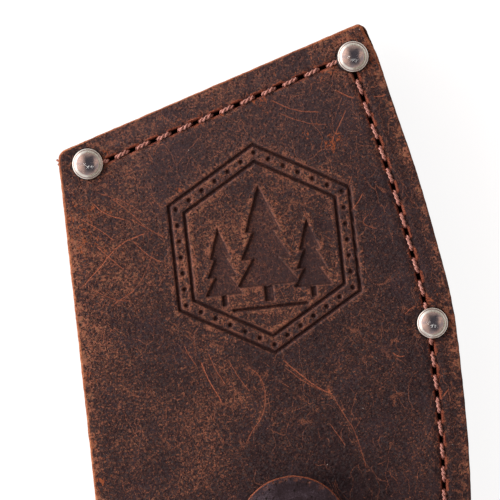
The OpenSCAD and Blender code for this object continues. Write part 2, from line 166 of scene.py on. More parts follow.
def hand_cut(points, setback=0.0):
    """The curved side as it was really cut: a little fuller at its corner and near its middle rivet.

    setback draws a layer's corner in behind the layers under it.
    """
    run, depth, out = edge_run(points[:, :2])
    push = CORNER_BULGE * smooth(1 - run / CORNER_BULGE_RUN)
    push += RIVET_BULGE * bell(run - RIVET_BULGE_AT, RIVET_BULGE_W)
    push -= setback * (1 - smooth(run, *SETBACK_RUN))
    push *= smooth(1 - depth / BULGE_DEPTH)
    moved = points.copy()
    moved[:, :2] += out * push[:, None]
    return moved


def corner_centres(edge_r):
    """Centres of the outline's rounded corners at the open side, edge, strap end and below the open side."""
    return (
        near_open_corner(OPEN_CORNER_R, OPEN_CORNER_R),
        near_corner(edge_r, edge_r),
        near_strap_corner(STRAP_CORNER_R, STRAP_CORNER_R),
        np.array([STRAP_CORNER_R, STRAP_CORNER_R - OPEN_SIDE]),
    )


def sheath_sides(edge_r):
    """Top, bottom, left and right of the outline, meeting in the middle of its rounded corners."""
    c1, c2, c3, c4 = corner_centres(edge_r)
    m1, m2 = (pi + END_ANGLE) / 2, (END_ANGLE + bearing(c2)) / 2
    m3, m4 = (bearing(c3) - pi / 2) / 2, -0.75 * pi
    top = np.vstack([arc(c1, OPEN_CORNER_R, m1, END_ANGLE, 10), arc(c2, edge_r, END_ANGLE, m2, 10)])
    right = np.vstack([
        arc(c2, edge_r, m2, bearing(c2), 10),
        arc(EDGE_CENTRE, EDGE_R, bearing(c2), bearing(c3), 160),
        arc(c3, STRAP_CORNER_R, bearing(c3), m3, 10),
    ])
    bottom = np.vstack([arc(c4, STRAP_CORNER_R, m4, -pi / 2, 10), arc(c3, STRAP_CORNER_R, -pi / 2, m3, 10)])
    left = np.vstack([arc(c1, OPEN_CORNER_R, m1, pi, 10), arc(c4, STRAP_CORNER_R, -pi, m4, 10)])
    return top, bottom, left, right


# Seams, measured along them as in the part's source
SEAM_R = EDGE_R - SEAM_INSET
CORNER_BEARING = bearing(RIVET_PLACES[1])


def along_edge(p):
    return (CORNER_BEARING - bearing(p)) * SEAM_R


SEAM_RIVETS = [
    (RIVET_PLACES[0] @ END_ALONG, RIVET_PLACES[1] @ END_ALONG),
    (0.0, along_edge(RIVET_PLACES[2])),
    (along_edge(RIVET_PLACES[2]), along_edge(RIVET_PLACES[3])),
]


def seam_holes(seam):
    first = SEAM_RIVETS[seam][0] + SEAM_LEADS[seam][0]
    last = SEAM_RIVETS[seam][1] - SEAM_LEADS[seam][1]
    count = ceil((last - first) / STITCH_PITCH - 0.1)
    return [first + (last - first) * i / count for i in range(count + 1)]


def on_seam(seam, s):
    """(place, direction in radians) on a seam."""
    if seam == 0:
        return s * END_ALONG - SEAM_INSET * END_OUT, SLOPE
    a = CORNER_BEARING - s / SEAM_R
    return EDGE_CENTRE + SEAM_R * unit(a), a - pi / 2


# -------- Fields over a surface --------


def noise2(x, y, size, seed):
    """Smooth noise from -1 to 1 whose blobs are about size across."""
    gx, gy = x / size, y / size
    ix, iy = np.floor(gx), np.floor(gy)
    fx, fy = smooth(gx - ix), smooth(gy - iy)

    def corner(dx, dy):
        h = np.sin((ix + dx) * 127.1 + (iy + dy) * 311.7 + seed * 74.7) * 43758.5453
        return h - np.floor(h)

    low = corner(0, 0) * (1 - fx) + corner(1, 0) * fx
    high = corner(0, 1) * (1 - fx) + corner(1, 1) * fx
    return 2 * (low * (1 - fy) + high * fy) - 1


def segment_distance(points, a, b):
    ab = b - a
    t = np.clip(((points - a) @ ab) / (ab @ ab), 0, 1)
    return norms(points - a - t[:, None] * ab), t


def line_distance(points, line):
    pieces = [(a, b) for a, b in zip(line[:-1], line[1:]) if norms(b - a) > 1e-9]
    return reduce(np.minimum, (segment_distance(points, a, b)[0] for a, b in pieces))


def polygon_distance(points, polygon):
    """Distance to a polygon, negative inside."""
    polygon = np.asarray(polygon, float)
    inside = np.zeros(len(points), bool)
    for a, b in zip(polygon, np.roll(polygon, -1, axis=0)):
        if abs(b[1] - a[1]) > 1e-9:
            crossing = a[0] + (points[:, 1] - a[1]) * (b[0] - a[0]) / (b[1] - a[1])
            inside ^= ((a[1] > points[:, 1]) != (b[1] > points[:, 1])) & (points[:, 0] < crossing)
    best = line_distance(points, np.vstack([polygon, polygon[:1]]))
    return np.where(inside, -best, best)


def place_distance(points, places):
    return np.min([norms(points - p) for p in places], axis=0)


def fir_tree(x, ground, height, width):
    """Three tiers of branches, each a triangle, over a short trunk."""
    trunk, foot = width / 14, ground + 0.14 * height
    shapes = [[[x - trunk, ground], [x + trunk, ground], [x + trunk, foot], [x - trunk, foot]]]
    for tier in range(3):
        y, half = foot + tier * 0.23 * height, width / 2 * (1 - 0.22 * tier)
        shapes.append([[x - half, y], [x + half, y], [x, y + 0.4 * height]])
    return shapes


def stamp_distance(points):
    """Distance to the stamp's pressed lines, negative inside them."""
    p = points - STAMP_MIDDLE

    def hexagon(r):
        return polygon_distance(p, arc(np.zeros(2), r, pi / 2, pi * 13 / 6, 5))

    inner = STAMP_LINE / cos(pi / 6)
    frames = [np.maximum(hexagon(r), -hexagon(r - inner)) for r in (STAMP_R, STAMP_INNER)]
    ground, bar = -0.5 * STAMP_R, 0.36 * STAMP_R
    low = ground - 2 * STAMP_LINE
    shapes = [[[-bar, low], [bar, low], [bar, low + STAMP_LINE], [-bar, low + STAMP_LINE]]]
    for x, height, width in ((0, 1.1, 0.6), (-0.42, 0.74, 0.36), (0.42, 0.74, 0.36)):
        shapes += fir_tree(x * STAMP_R, ground, height * STAMP_R, width * STAMP_R)
    # Small dots pressed between the two hexagons
    corners = arc(np.zeros(2), STAMP_DOT_RING, pi / 2, pi * 5 / 2, 6)
    steps = np.arange(STAMP_DOTS_A_SIDE) / STAMP_DOTS_A_SIDE
    dots = [a + (b - a) * step for a, b in zip(corners[:-1], corners[1:]) for step in steps]
    shapes = [polygon_distance(p, shape) for shape in shapes]
    return reduce(np.minimum, [*frames, *shapes, place_distance(p, dots) - STAMP_DOT_D / 2])


HOLES = [on_seam(seam, s) for seam in range(3) for s in seam_holes(seam)]


def hole_fields(points):
    """Distance to the nearest awl hole's rim, and how much a point lies on its outer side."""
    best, outer = np.full(len(points), np.inf), np.zeros(len(points))
    for place, angle in HOLES:
        along = unit(angle) * (AWL_LENGTH - AWL_WIDTH) / 2
        d = segment_distance(points, place - along, place + along)[0] - AWL_WIDTH / 2 - AWL_OPEN
        out = np.array([-sin(angle), cos(angle)])
        closer = d < best
        best = np.where(closer, d, best)
        outer = np.where(closer, (points - place) @ out, outer)
    return best, outer


def seam_distance(points):
    lines = ([on_seam(seam, s)[0] for s in np.linspace(*SEAM_RIVETS[seam], 40)] for seam in range(3))
    return reduce(np.minimum, (line_distance(points, np.array(line)) for line in lines))


def rounded_path(path, times=3):
    path = np.array(path, float)
    for _ in range(times):
        a, b = path[:-1], path[1:]
        cut = np.stack([0.75 * a + 0.25 * b, 0.25 * a + 0.75 * b], axis=1).reshape(-1, path.shape[1])
        path = np.vstack([path[:1], cut, path[-1:]])
    return path


def scratch_fields(points, scratches):
    """Signed distance to the nearest scratch, and its strength there."""
    signed, mask = np.full(len(points), np.inf), np.zeros(len(points))
    for strength, *path in scratches:
        path = rounded_path(np.reshape(path, (-1, 2)))
        for i, (a, b) in enumerate(zip(path[:-1], path[1:])):
            d, t = segment_distance(points, a, b)
            closer = d < abs(signed)
            ab, ap = b - a, points - a
            side = np.where(ab[0] * ap[:, 1] < ab[1] * ap[:, 0], -1, 1)
            along = (i + t) / (len(path) - 1)
            taper = smooth(along, 0, 0.15) * smooth(1 - along, 0, 0.15)
            signed = np.where(closer, d * side, signed)
            mask = np.where(closer, strength * taper * smooth(1.6 - d), mask)
    return signed, mask


# -------- Meshes --------


def make_object(name, vertices, faces, materials, kinds=None, sharp=None):
    """An object from millimetres in the row frame; kinds gives each face's material."""
    mesh = bpy.data.meshes.new(name)
    mesh.from_pydata((np.asarray(vertices) * 0.001).tolist(), [], faces)
    for material in materials:
        mesh.materials.append(material)
    if kinds is not None:
        mesh.polygons.foreach_set("material_index", kinds)
    mesh.polygons.foreach_set("use_smooth", [True] * len(mesh.polygons))
    if sharp:
        mesh.set_sharp_from_angle(angle=radians(sharp))
    mesh.update()
    obj = bpy.data.objects.new(name, mesh)
    bpy.context.scene.collection.objects.link(obj)
    return obj


def put_fields(obj, **fields):
    """What the materials read at each point of a mesh."""
    for name, values in fields.items():
        values = np.asarray(values, np.float32)
        kind, key = ("FLOAT_VECTOR", "vector") if values.ndim == 2 else ("FLOAT", "value")
        obj.data.attributes.new(name, kind, "POINT").data.foreach_set(key, values.ravel())


def stand_for(piece, slot, body, *nodes):
    """The piece stands for these CAD nodes, which it hides, and rides on a body; slot is not used."""
    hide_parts(*nodes)
    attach(piece, body)


def sampler(line):
    step = norms(np.diff(line, axis=0))
    s = np.concatenate([[0], np.cumsum(step)])
    return lambda t: np.stack([np.interp(t * s[-1], s, line[:, k]) for k in (0, 1)], axis=1)


# Grid spacing near a cut rim: (up to this many millimetres, spacing)
RIM = [(0.11, 0.11), (0.3, 0.14), (0.75, 0.2), (1.2, 0.26)]


def with_rims(total, stretches):
    """Grid parameters from 0 to 1 across a piece, finest at both rims; stretches are written as RIM is."""
    body = [(min(limit, total - RIM[-1][0]), step) for limit, step in stretches]
    limits, steps = zip(*reversed(RIM))
    ends = zip([*(total - limit for limit in limits[1:]), total], steps)
    stretches, places = [*RIM, *body, *ends], [0.0]
    while places[-1] < total:
        places.append(places[-1] + next(step for limit, step in stretches if places[-1] < limit))
    return np.array(places) / places[-1]


def coons(sides, u, v):
    """A grid of points filled in between four sides: top, bottom, left and right."""
    top, bottom, left, right = (sampler(side) for side in sides)
    t, b, l, r = top(u), bottom(u), left(v), right(v)
    uu, vv = u[None, :, None], v[:, None, None]
    return (
        (1 - vv) * t[None] + vv * b[None] + (1 - uu) * l[:, None] + uu * r[:, None]
        - (1 - uu) * (1 - vv) * t[0] - uu * (1 - vv) * t[-1]
        - (1 - uu) * vv * b[0] - uu * vv * b[-1]
    )


def run_round(outline):
    """Distance run round a closed outline, up to the end of each of its steps."""
    return np.cumsum(norms(np.diff(outline, axis=0, append=outline[:1])))


def ring_faces(rings, n):
    """Quads between rings of n points each."""
    steps = [(i, (i + 1) % n) for i in range(n)]
    return [[a + i, a + j, a + n + j, a + n + i] for a in range(0, (rings - 1) * n, n) for i, j in steps]


def slab(name, sides, u, v, thickness, surface, place, materials, mirrored=False,
         cut_line=None, grain=(1, 1, 1), inner_grid=False, wall_rows=6, fray=0.06, nibble=0.045):
    """A cut piece of leather: a fine grained face, a rough cut edge and a flesh side.

    surface(points, edge) gives (height over the face, fields); place turns flat points into the row frame.
    """
    grid = coons(sides, u, v)
    rows, columns = grid.shape[:2]
    flat = grid.reshape(-1, 2)
    if cut_line is None:
        top, bottom, left, right = sides
        cut_line = np.vstack([left, bottom, right[::-1], top[::-1]])
    edge = line_distance(flat, cut_line)
    height, fields = surface(flat, edge)
    middle = flat.mean(axis=0)
    out = (flat - middle) / norms(flat - middle).clip(1e-6)[:, None]
    ragged = noise2(*flat.T, 1.6, 21) + 0.7 * noise2(*flat.T, 0.7, 22)
    flat = flat + out * (nibble * ragged * np.exp(-edge / 0.5))[:, None]

    index = np.arange(rows * columns).reshape(rows, columns)
    quads = np.stack([index[:-1, :-1], index[1:, :-1], index[1:, 1:], index[:-1, 1:]], axis=-1).reshape(-1, 4)
    ring = np.concatenate([index[:, 0], index[-1, 1:], index[-2::-1, -1], index[0, -2:0:-1]])
    points, source = [np.column_stack([flat, thickness + height])], [index.ravel()]
    faces = quads.tolist()
    kinds = [0] * len(faces)

    # The cut edge, row by row down to the flesh side
    run, last, count = run_round(flat[ring]), ring, len(flat)
    for row in range(1, wall_rows + 1):
        z = (thickness + height[ring]) * (1 - row / wall_rows)
        rough = fray * (noise2(run, z * 2, 0.9, 3) + 0.6 * noise2(run, z * 3, 0.35, 5)) - 0.02
        if row == wall_rows:
            rough = np.full(len(ring), -0.12)
        points.append(np.column_stack([flat[ring] + out[ring] * rough[:, None], z]))
        source.append(ring)
        new = count + np.arange(len(ring))
        count += len(ring)
        faces += np.stack([last, new, np.roll(new, -1), np.roll(last, -1)], axis=-1).tolist()
        last = new
    kinds += [1] * (len(faces) - len(kinds))

    if inner_grid:
        inner = np.full(rows * columns, -1)
        inner[ring] = last
        inside = inner < 0
        inner[inside] = count + np.arange(inside.sum())
        points.append(np.column_stack([flat[inside], 0.02 * noise2(*flat[inside].T, 1.5, 9)]))
        source.append(np.flatnonzero(inside))
        faces += inner[quads][:, ::-1].tolist()
    else:
        faces.append(last[::-1].tolist())
    kinds += [2] * (len(faces) - len(kinds))

    points, source = np.vstack(points), np.concatenate(source)
    if mirrored:
        faces = [face[::-1] for face in faces]
    obj = make_object(name, place(points), faces, materials, kinds, sharp=48)
    fields = {key: value[source] for key, value in fields.items()}
    put_fields(obj, flat=points * grain, edge=edge[source], **fields)
    return obj


def welt(name, outline, seed, rows=9, fray=0.08):
    """A strip of leather between the panels: only its rough cut sides show."""
    closed = np.vstack([outline, outline[:1]])
    total = norms(np.diff(closed, axis=0)).sum()
    outline = sampler(closed)(np.arange(0, total, WELT_STEP) / total)
    run, n = run_round(outline), len(outline)
    ahead = np.roll(outline, -1, axis=0) - np.roll(outline, 1, axis=0)
    out = np.column_stack([ahead[:, 1], -ahead[:, 0]])
    out /= norms(out)[:, None]
    points = []
    for part in np.arange(rows + 1) / rows:
        z = Z_WELT + (Z_INNER - Z_WELT) * part
        rough = fray * (noise2(run, z * 2, 1.3, seed) + 0.5 * noise2(run, z * 3, 0.4, seed + 1))
        rough = rough - 0.05 - 0.12 * abs(2 * part - 1) ** 6
        points.append(np.column_stack([outline + out * rough[:, None], np.full(n, z)]))
    points = np.vstack(points)
    faces = [list(range(n))[::-1], [rows * n + i for i in range(n)], *ring_faces(rows + 1, n)]
    kinds = [1, 1] + [0] * (len(faces) - 2)
    obj = make_object(name, in_row(hand_cut(points)), faces, [welt_cut, welt_face], kinds, sharp=48)
    put_fields(obj, flat=points)
    return obj


def lathe(name, profile, centre, z, down, wobble, n=96):
    """A pressed cap of n sides: profile runs from its outer foot to its crown on the axis."""
    angles = np.arange(n) * 2 * pi / n
    rings = profile[profile[:, 0] > 1e-6]
    points = []
    for r, h in rings:
        x, y = r * np.cos(angles), r * np.sin(angles)
        points.append(np.column_stack([x, y, h + wobble * noise2(x + centre[0], y + centre[1], 1.7, 4)]))
    points = np.vstack(points + [[[0, 0, profile[-1, 1]]]])
    faces = [list(range(n))[::-1], *ring_faces(len(rings), n)]
    last, tip = (len(rings) - 1) * n, len(rings) * n
    faces += [[last + i, last + (i + 1) % n, tip] for i in range(n)]
    if down:
        points = points * [1, 1, -1]
        faces = [face[::-1] for face in faces]
    obj = make_object(name, in_row(points + [*centre, 0], z), faces, [nickel], sharp=40)
    put_fields(obj, flat=points)
    return obj


def rope(path, phase=0.0, ply_r=0.27, offset=0.21, pitch=2.2, plies=2, sides=8):
    """(points, faces, flat) of a twisted thread along a path of [x, y, z]."""
    path = np.asarray(path, float)
    tangent = np.gradient(path, axis=0)
    tangent /= norms(tangent)[:, None]
    side = np.cross(tangent, [0.01, 0.013, 1.0])
    side /= norms(side)[:, None]
    up = np.cross(side, tangent)
    run = np.concatenate([[0], np.cumsum(norms(np.diff(path, axis=0)))])
    angles = np.arange(sides) * 2 * pi / sides
    circle = ply_r * (np.cos(angles)[:, None] * side[:, None] + np.sin(angles)[:, None] * up[:, None])
    points, faces, flat = [], [], []
    for ply in range(plies):
        turn = phase + run / pitch * 2 * pi + ply * 2 * pi / plies
        core = path + offset * (np.cos(turn)[:, None] * side + np.sin(turn)[:, None] * up)
        points.append((core[:, None] + circle).reshape(-1, 3))
        flat.append(np.column_stack([
            np.repeat(run, sides), np.tile(angles * ply_r, len(run)), np.full(len(run) * sides, ply * 7.0),
        ]))
        base = ply * len(run) * sides
        end = base + (len(run) - 1) * sides
        faces += [[base + i for i in (a, d, c, b)] for a, b, c, d in ring_faces(len(run), sides)]
        faces += [[base + k for k in range(sides)], [end + k for k in range(sides)][::-1]]
    return np.vstack(points), faces, np.vstack(flat)


def join_parts(name, parts, material):
    bases = np.cumsum([0] + [len(points) for points, _, _ in parts])
    faces = [[i + int(base) for i in face] for base, part in zip(bases, parts) for face in part[1]]
    obj = make_object(name, np.vstack([part[0] for part in parts]), faces, [material])
    put_fields(obj, flat=np.vstack([part[2] for part in parts]))
    return obj


# -------- Materials --------


def rgb(code):
    channels = [int(code[i : i + 2], 16) / 255 for i in (0, 2, 4)]
    linear = [c / 12.92 if c <= 0.04045 else ((c + 0.055) / 1.055) ** 2.4 for c in channels]
    return (*linear, 1.0)


class Paint:
    """Builds the nodes of one material, or of the world."""

    def __init__(self, name, kind=None):
        self.owner = (bpy.data.materials if kind is None else kind).new(name)
        self.owner.use_nodes = True
        self.tree = self.owner.node_tree
        self.tree.nodes.clear()

    def add(self, kind, inputs=(), **settings):
        """A node; each of its inputs is a value or another node's output."""
        node = self.tree.nodes.new("ShaderNode" + kind)
        for key, value in settings.items():
            setattr(node, key, value)
        for key, value in dict(inputs).items():
            if isinstance(value, bpy.types.NodeSocket):
                self.tree.links.new(value, node.inputs[key])
            else:
                node.inputs[key].default_value = value
        return node

    def close(self, kind, surface):
        self.add(kind, {"Surface": surface})
        return self.owner

    def math(self, operation, *values):
        return self.add("Math", enumerate(values), operation=operation).outputs[0]

    def sum(self, *values):
        return reduce(lambda a, b: self.math("ADD", a, b), values)

    def times(self, *values):
        return reduce(lambda a, b: self.math("MULTIPLY", a, b), values)

    def weigh(self, base, *pairs):
        """base plus each value times its weight."""
        return self.sum(base, *(self.times(*pair) for pair in pairs))

    def swing(self, value, amount):
        return self.times(self.math("SUBTRACT", value, 0.5), amount)

    def band(self, value, lo, hi, to_lo=0.0, to_hi=1.0):
        inputs = {"Value": value, "From Min": lo, "From Max": hi, "To Min": to_lo, "To Max": to_hi}
        return self.add("MapRange", inputs, interpolation_type="SMOOTHSTEP").outputs["Result"]

    def near(self, value, far, close):
        """1 where the value is close to zero, 0 where it is far from it."""
        return self.band(self.math("ABSOLUTE", value), far, close)

    def field(self, name, output="Fac"):
        return self.add("Attribute", attribute_name=name).outputs[output]

    def stretch(self, vector, angle, scale):
        inputs = {"Vector": vector, "Rotation": (0, 0, radians(angle)), "Scale": scale}
        return self.add("Mapping", inputs).outputs[0]

    def noise(self, vector, scale, detail=2.0, roughness=0.5, distortion=0.0, output="Fac"):
        inputs = {"Scale": scale, "Detail": detail, "Roughness": roughness, "Distortion": distortion}
        return self.add("TexNoise", {"Vector": vector, **inputs}).outputs[output]

    def voronoi(self, vector, scale, feature="F1", randomness=1.0, output="Distance"):
        inputs = {"Vector": vector, "Scale": scale, "Randomness": randomness}
        return self.add("TexVoronoi", inputs, feature=feature).outputs[output]

    def cells(self, vector, scale):
        """Two chance values for each of many small cells."""
        split = self.add("SeparateColor", {0: self.voronoi(vector, scale, output="Color")})
        return split.outputs[0], split.outputs[1]

    def ramp(self, value, *stops):
        node = self.add("ValToRGB", {0: value})
        elements = node.color_ramp.elements
        while len(elements) < len(stops):
            elements.new(0.5)
        for element, (position, code) in zip(elements, stops):
            element.position, element.color = position, rgb(code)
        return node.outputs["Color"]

    def mix(self, factor, a, b):
        a, b = (rgb(colour) if isinstance(colour, str) else colour for colour in (a, b))
        node = self.add("Mix", {"Factor": factor, 6: a, 7: b}, data_type="RGBA", clamp_factor=True)
        return node.outputs[2]

    def layers(self, colour, *coats):
        """Coats laid over a colour, the last on top: (where, share, colour) each."""
        for where, share, coat in coats:
            colour = self.mix(self.times(where, share), colour, coat)
        return colour

    def bump(self, height, distance):
        return self.add("Bump", {"Strength": 1.0, "Distance": distance, "Height": height}).outputs[0]

    def finish(self, colour, roughness, normal, **constants):
        inputs = {"Base Color": colour, "Roughness": roughness, "Normal": normal}
        inputs.update({key.replace("_", " "): value for key, value in constants.items()})
        return self.close("OutputMaterial", self.add("BsdfPrincipled", inputs).outputs[0])


def hairlines(p, flat, grit):
    """Fine hairline scratches everywhere, thin and broken, in three directions."""
    warp = p.noise(flat, 0.16, output="Color")
    warp = p.add("VectorMath", {0: warp, "Scale": 6.0}, operation="SCALE").outputs[0]
    bent = p.add("VectorMath", {0: flat, 1: warp}, operation="ADD").outputs[0]
    hairs = 0.0
    for angle, scale, least in ((35, 0.2, 0.46), (-50, 0.16, 0.5), (80, 0.12, 0.52)):
        lines = p.voronoi(p.stretch(bent, angle, (1.0, 0.35, 0.4)), scale, "DISTANCE_TO_EDGE")
        seen = p.band(p.noise(p.stretch(flat, angle, (1.0, 1.0, 2.0)), 0.2), least, least + 0.12)
        hair = p.times(p.band(lines, 0.016, 0.004), seen, p.band(grit, 0.35, 0.6), 0.65)
        hairs = p.math("MAXIMUM", hairs, hair)
    return hairs


def grained_leather(name):
    """Oiled pull-up leather: charcoal brown, red-brown where the wax is rubbed away, with dark open pores."""
    p = Paint(name)
    flat, edge, warm, flakes = p.field("flat", "Vector"), p.field("edge"), p.field("warm"), p.field("flakes")
    stamp, hole, rivet = p.field("stamp"), p.field("hole"), p.field("rivet")
    streaked = p.stretch(flat, -19, (0.7, 1.0, 1.0))
    grit = p.noise(flat, 4.8, 2.0, 0.6)
    fine = p.noise(streaked, 2.3, 2.0, 0.6)
    middle = p.noise(streaked, 0.95, 3.0, 0.65, 0.6)
    patch = p.noise(flat, 0.085, 4.0, 0.62)
    worn = p.noise(flat, 0.45, 3.0, 0.7)
    speck, hue = p.cells(flat, 2.9)
    big_speck, _ = p.cells(p.stretch(flat, 30, (1.0, 0.8, 1.0)), 1.5)

    # Tone, from waxed and dark to rubbed and light; the warm field in it also holds painted light and shadow
    tone = p.sum(
        0.456, p.swing(grit, 0.76), p.swing(speck, 0.27), p.swing(big_speck, 0.07),
        p.swing(fine, 0.62), p.swing(middle, 0.37), p.swing(patch, 0.52), warm,
    )
    on_rim = p.times(p.band(edge, 3.6, 0.3), p.band(worn, 0.42, 0.62), p.field("scuff"), 0.3)
    by_stamp = p.times(p.near(p.math("SUBTRACT", stamp, 0.7), 0.8, 0.1), p.band(worn, 0.42, 0.62), 0.2)
    by_rivet = p.times(p.band(rivet, 3.0, 0.2), p.band(worn, 0.4, 0.6), 0.2)
    by_hole = p.times(p.band(hole, 1.5, 0.2), p.band(worn, 0.36, 0.56), 0.16)
    tone = p.sum(tone, on_rim, by_stamp, by_rivet, by_hole)
    stops = (0.1, 0.3, 0.44, 0.55, 0.66, 0.8)
    red = p.ramp(tone, *zip(stops, ("1e1115", "2d1f22", "382727", "493029", "6c4337", "955f4a")))
    ochre = p.ramp(tone, *zip(stops, ("181417", "292223", "352a28", "453530", "644839", "8c684b")))
    colour = p.mix(p.times(p.band(p.noise(flat, 1.3, 2.0, 0.6), 0.45, 0.62), 0.5), red, ochre)

    # Open pores, dark on the rubbed leather, and flakes where the wax has come off down to the tan
    bloom = p.times(p.band(p.noise(flat, 0.13, 3.0, 0.6, 0.4), 0.5, 0.68), p.band(tone, 0.62, 0.42))
    cool = p.times(p.band(hue, 0.68, 0.95), p.band(tone, 0.66, 0.5))
    pores = p.voronoi(p.stretch(flat, 25, (1.0, 0.85, 1.0)), 1.3, randomness=0.9)
    pore = p.times(p.band(pores, 0.38, 0.18), p.band(tone, 0.34, 0.56, 0.3, 1.0))
    chips = p.noise(p.stretch(flat, 40, (1.0, 0.7, 1.0)), 1.15, 4.0, 0.72, 0.8)
    chip = p.times(p.band(p.weigh(chips, (warm, 0.45)), 0.645, 0.69), p.band(worn, 0.4, 0.58))
    flake = p.times(p.band(p.weigh(chips, (flakes, 0.13)), 0.625, 0.665), p.band(flakes, 0.05, 0.3))
    hairs = hairlines(p, flat, grit)
    scratches = []
    for channel, width in (("scratch_a", 0.19), ("scratch_b", 0.14)):
        away = p.math("ABSOLUTE", p.math("ADD", p.field(channel), p.swing(worn, 0.5)))
        broken = p.band(fine, 0.3, 0.5, 0.55, 1.0)
        scratches.append(p.times(p.band(away, width, 0.05), p.field(channel + "_mask"), broken))

    # The stamp: a crisp dark line down its walls, greyer and smoother where it is pressed
    pressed = p.band(stamp, 0.1, -0.2)
    raised = p.times(p.near(p.sum(stamp, -0.14, p.swing(grit, 0.3)), 0.28, 0.06), p.band(worn, 0.4, 0.56))
    wall = p.near(p.sum(stamp, 0.29, p.swing(grit, 0.16)), 0.22, 0.06)

    # Awl holes: painted shade darkens their insides, with a reddish torn lip, wider towards the edge
    ragged = p.sum(p.field("lip"), p.swing(fine, 1.1), p.swing(grit, 0.9), p.swing(middle, 0.9))
    shreds = p.weigh(0.0, (grit, 0.6), (middle, 0.4))
    torn = p.ramp(shreds, (0.35, "5c2a1d"), (0.5, "88452f"), (0.66, "b0694e"))

    # The cut rim: bright orange fibres
    cut = p.sum(edge, p.swing(worn, 0.5), p.swing(fine, 0.7), p.swing(grit, 0.4))
    fuzz = p.times(p.band(p.math("DIVIDE", cut, p.field("rim")), 1.3, 0.6), p.field("raw"))
    strands = p.weigh(0.0, (grit, 0.5), (middle, 0.5))
    fibre = p.ramp(strands, (0.34, "5c3222"), (0.48, "95563a"), (0.64, "ba7f5c"))

    colour = p.layers(
        colour,
        (bloom, 0.35, "3f3036"),
        (cool, 0.4, "4a4446"),
        (p.field("cool"), 1.0, "4d4044"),
        (pore, 0.7, "20171c"),
        (chip, 0.7, "a35c3d"),
        (flake, 0.8, "98502f"),
        (hairs, 1.0, "925a44"),
        *((scratch, 0.85, "a35d43") for scratch in scratches),
        (pressed, 0.5, "402f30"),
        (raised, 0.35, "8e5a48"),
        (wall, 0.5, "2c120d"),
        (p.band(ragged, 0.24, 0.66), 0.8, torn),
        (p.band(hole, 0.5, 0.1), 0.55, "6b3427"),
        # Painted shade: the inside of each awl hole is coloured dark brown, as shade falls in it.
        (p.band(p.sum(hole, p.swing(fine, 0.4)), 0.05, -0.1), 1.0, "32160d"),
        # Painted shade: a near black ring in the leather at each cap's foot, where the cap shades it.
        (p.band(rivet, 0.34, 0.06), 0.8, "120706"),
        (fuzz, 0.92, fibre),
        (p.band(p.voronoi(flat, 0.19), 0.034, 0.018), 0.6, "b9a79c"),  # grains of dust
    )
    relief = p.weigh(
        0.0, (fine, 0.5), (middle, 0.5), (grit, 0.3), (pore, -0.4), (hairs, -0.25), (chip, -0.2),
        *((scratch, -0.3) for scratch in scratches), (pressed, -2.4),
    )
    gloss = p.weigh(0.54, (middle, 0.16), (fuzz, 0.3), (pore, 0.15), (grit, 0.1))
    return p.finish(colour, gloss, p.bump(relief, 0.0002), Specular_IOR_Level=0.24)


def cut_leather(name, dark, mid, light):
    """A raw cut edge: packed fibres in layers."""
    p = Paint(name)
    flat = p.field("flat", "Vector")
    layers = p.noise(p.stretch(flat, 0, (0.5, 0.5, 3.2)), 1.3, 3.0, 0.6, 0.6)
    specks = p.noise(flat, 4.2, 3.0, 0.7)
    tone = p.weigh(-0.07, (layers, 0.5), (specks, 0.35), (p.noise(flat, 0.16, 3.0, 0.6), 0.3))
    colour = p.ramp(tone, (0.3, dark), (0.5, mid), (0.7, light))
    return p.finish(colour, 0.85, p.bump(p.weigh(layers, (specks, 0.6)), 0.00025), Specular_IOR_Level=0.2)


def flesh_leather(name):
    """The napped inner side."""
    p = Paint(name)
    flat = p.field("flat", "Vector")
    nap = p.noise(flat, 3.2, 4.0, 0.7, 0.8)
    patch = p.noise(flat, 0.12, 4.0, 0.6)
    lay = p.noise(p.stretch(flat, 30, (0.4, 1.6, 1.0)), 1.4, 2.0, 0.6)
    tone = p.weigh(-0.05, (nap, 0.45), (patch, 0.35), (lay, 0.3))
    colour = p.ramp(tone, (0.3, "4c3023"), (0.5, "6d4631"), (0.72, "8c6045"))
    return p.finish(colour, 0.92, p.bump(nap, 0.0003), Specular_IOR_Level=0.15, Sheen_Weight=0.15)


def strap_leather(name):
    """The strap's smoother, bluish charcoal face with open pores."""
    p = Paint(name)
    flat, edge = p.field("flat", "Vector"), p.field("edge")
    fine = p.noise(flat, 3.2, 3.0, 0.65, 0.3)
    cloud = p.noise(flat, 0.35, 4.0, 0.6)
    worn = p.noise(flat, 0.8, 3.0, 0.7)
    speck, _ = p.cells(flat, 3.1)
    # A painted highlight lightens the flap near the left of its tip.
    tone = p.sum(p.weigh(-0.05, (fine, 0.5), (cloud, 0.55), (p.field("sheen"), 0.26)), p.swing(speck, 0.16))
    colour = p.ramp(tone, (0.3, "1d1317"), (0.48, "2b2025"), (0.6, "382d34"), (0.74, "51464d"))
    pore = p.times(p.band(p.voronoi(flat, 0.85), 0.3, 0.16), p.band(worn, 0.36, 0.5))
    rub = p.times(p.band(edge, 2.2, 0.6), p.band(worn, 0.52, 0.66))
    wrinkles = p.noise(p.stretch(flat, 0, (0.25, 2.2, 1.0)), 1.0, 2.0, 0.6)
    crease = p.times(p.near(p.field("fold"), 4.2, 1.0), p.band(wrinkles, 0.5, 0.66))
    fibre = p.ramp(p.noise(flat, 3.4, 2.0, 0.6), (0.3, "4a2318"), (0.5, "733c29"), (0.7, "9a5a40"))
    cut = p.math("DIVIDE", p.sum(edge, p.swing(fine, 0.3), p.swing(worn, 0.3)), p.field("rim"))
    fuzz = p.times(p.band(cut, 0.85, 0.5), p.band(worn, 0.3, 0.46, 0.35, 1.0))
    colour = p.layers(
        colour, (pore, 0.85, "100809"), (p.math("MAXIMUM", rub, crease), 0.6, "7b4a36"), (fuzz, 1.0, fibre)
    )
    relief = p.weigh(0.0, (fine, 0.7), (pore, -0.8), (crease, -0.7))
    gloss = p.weigh(0.5, (cloud, 0.15), (fuzz, 0.3))
    return p.finish(colour, gloss, p.bump(relief, 0.00012), Specular_IOR_Level=0.35)


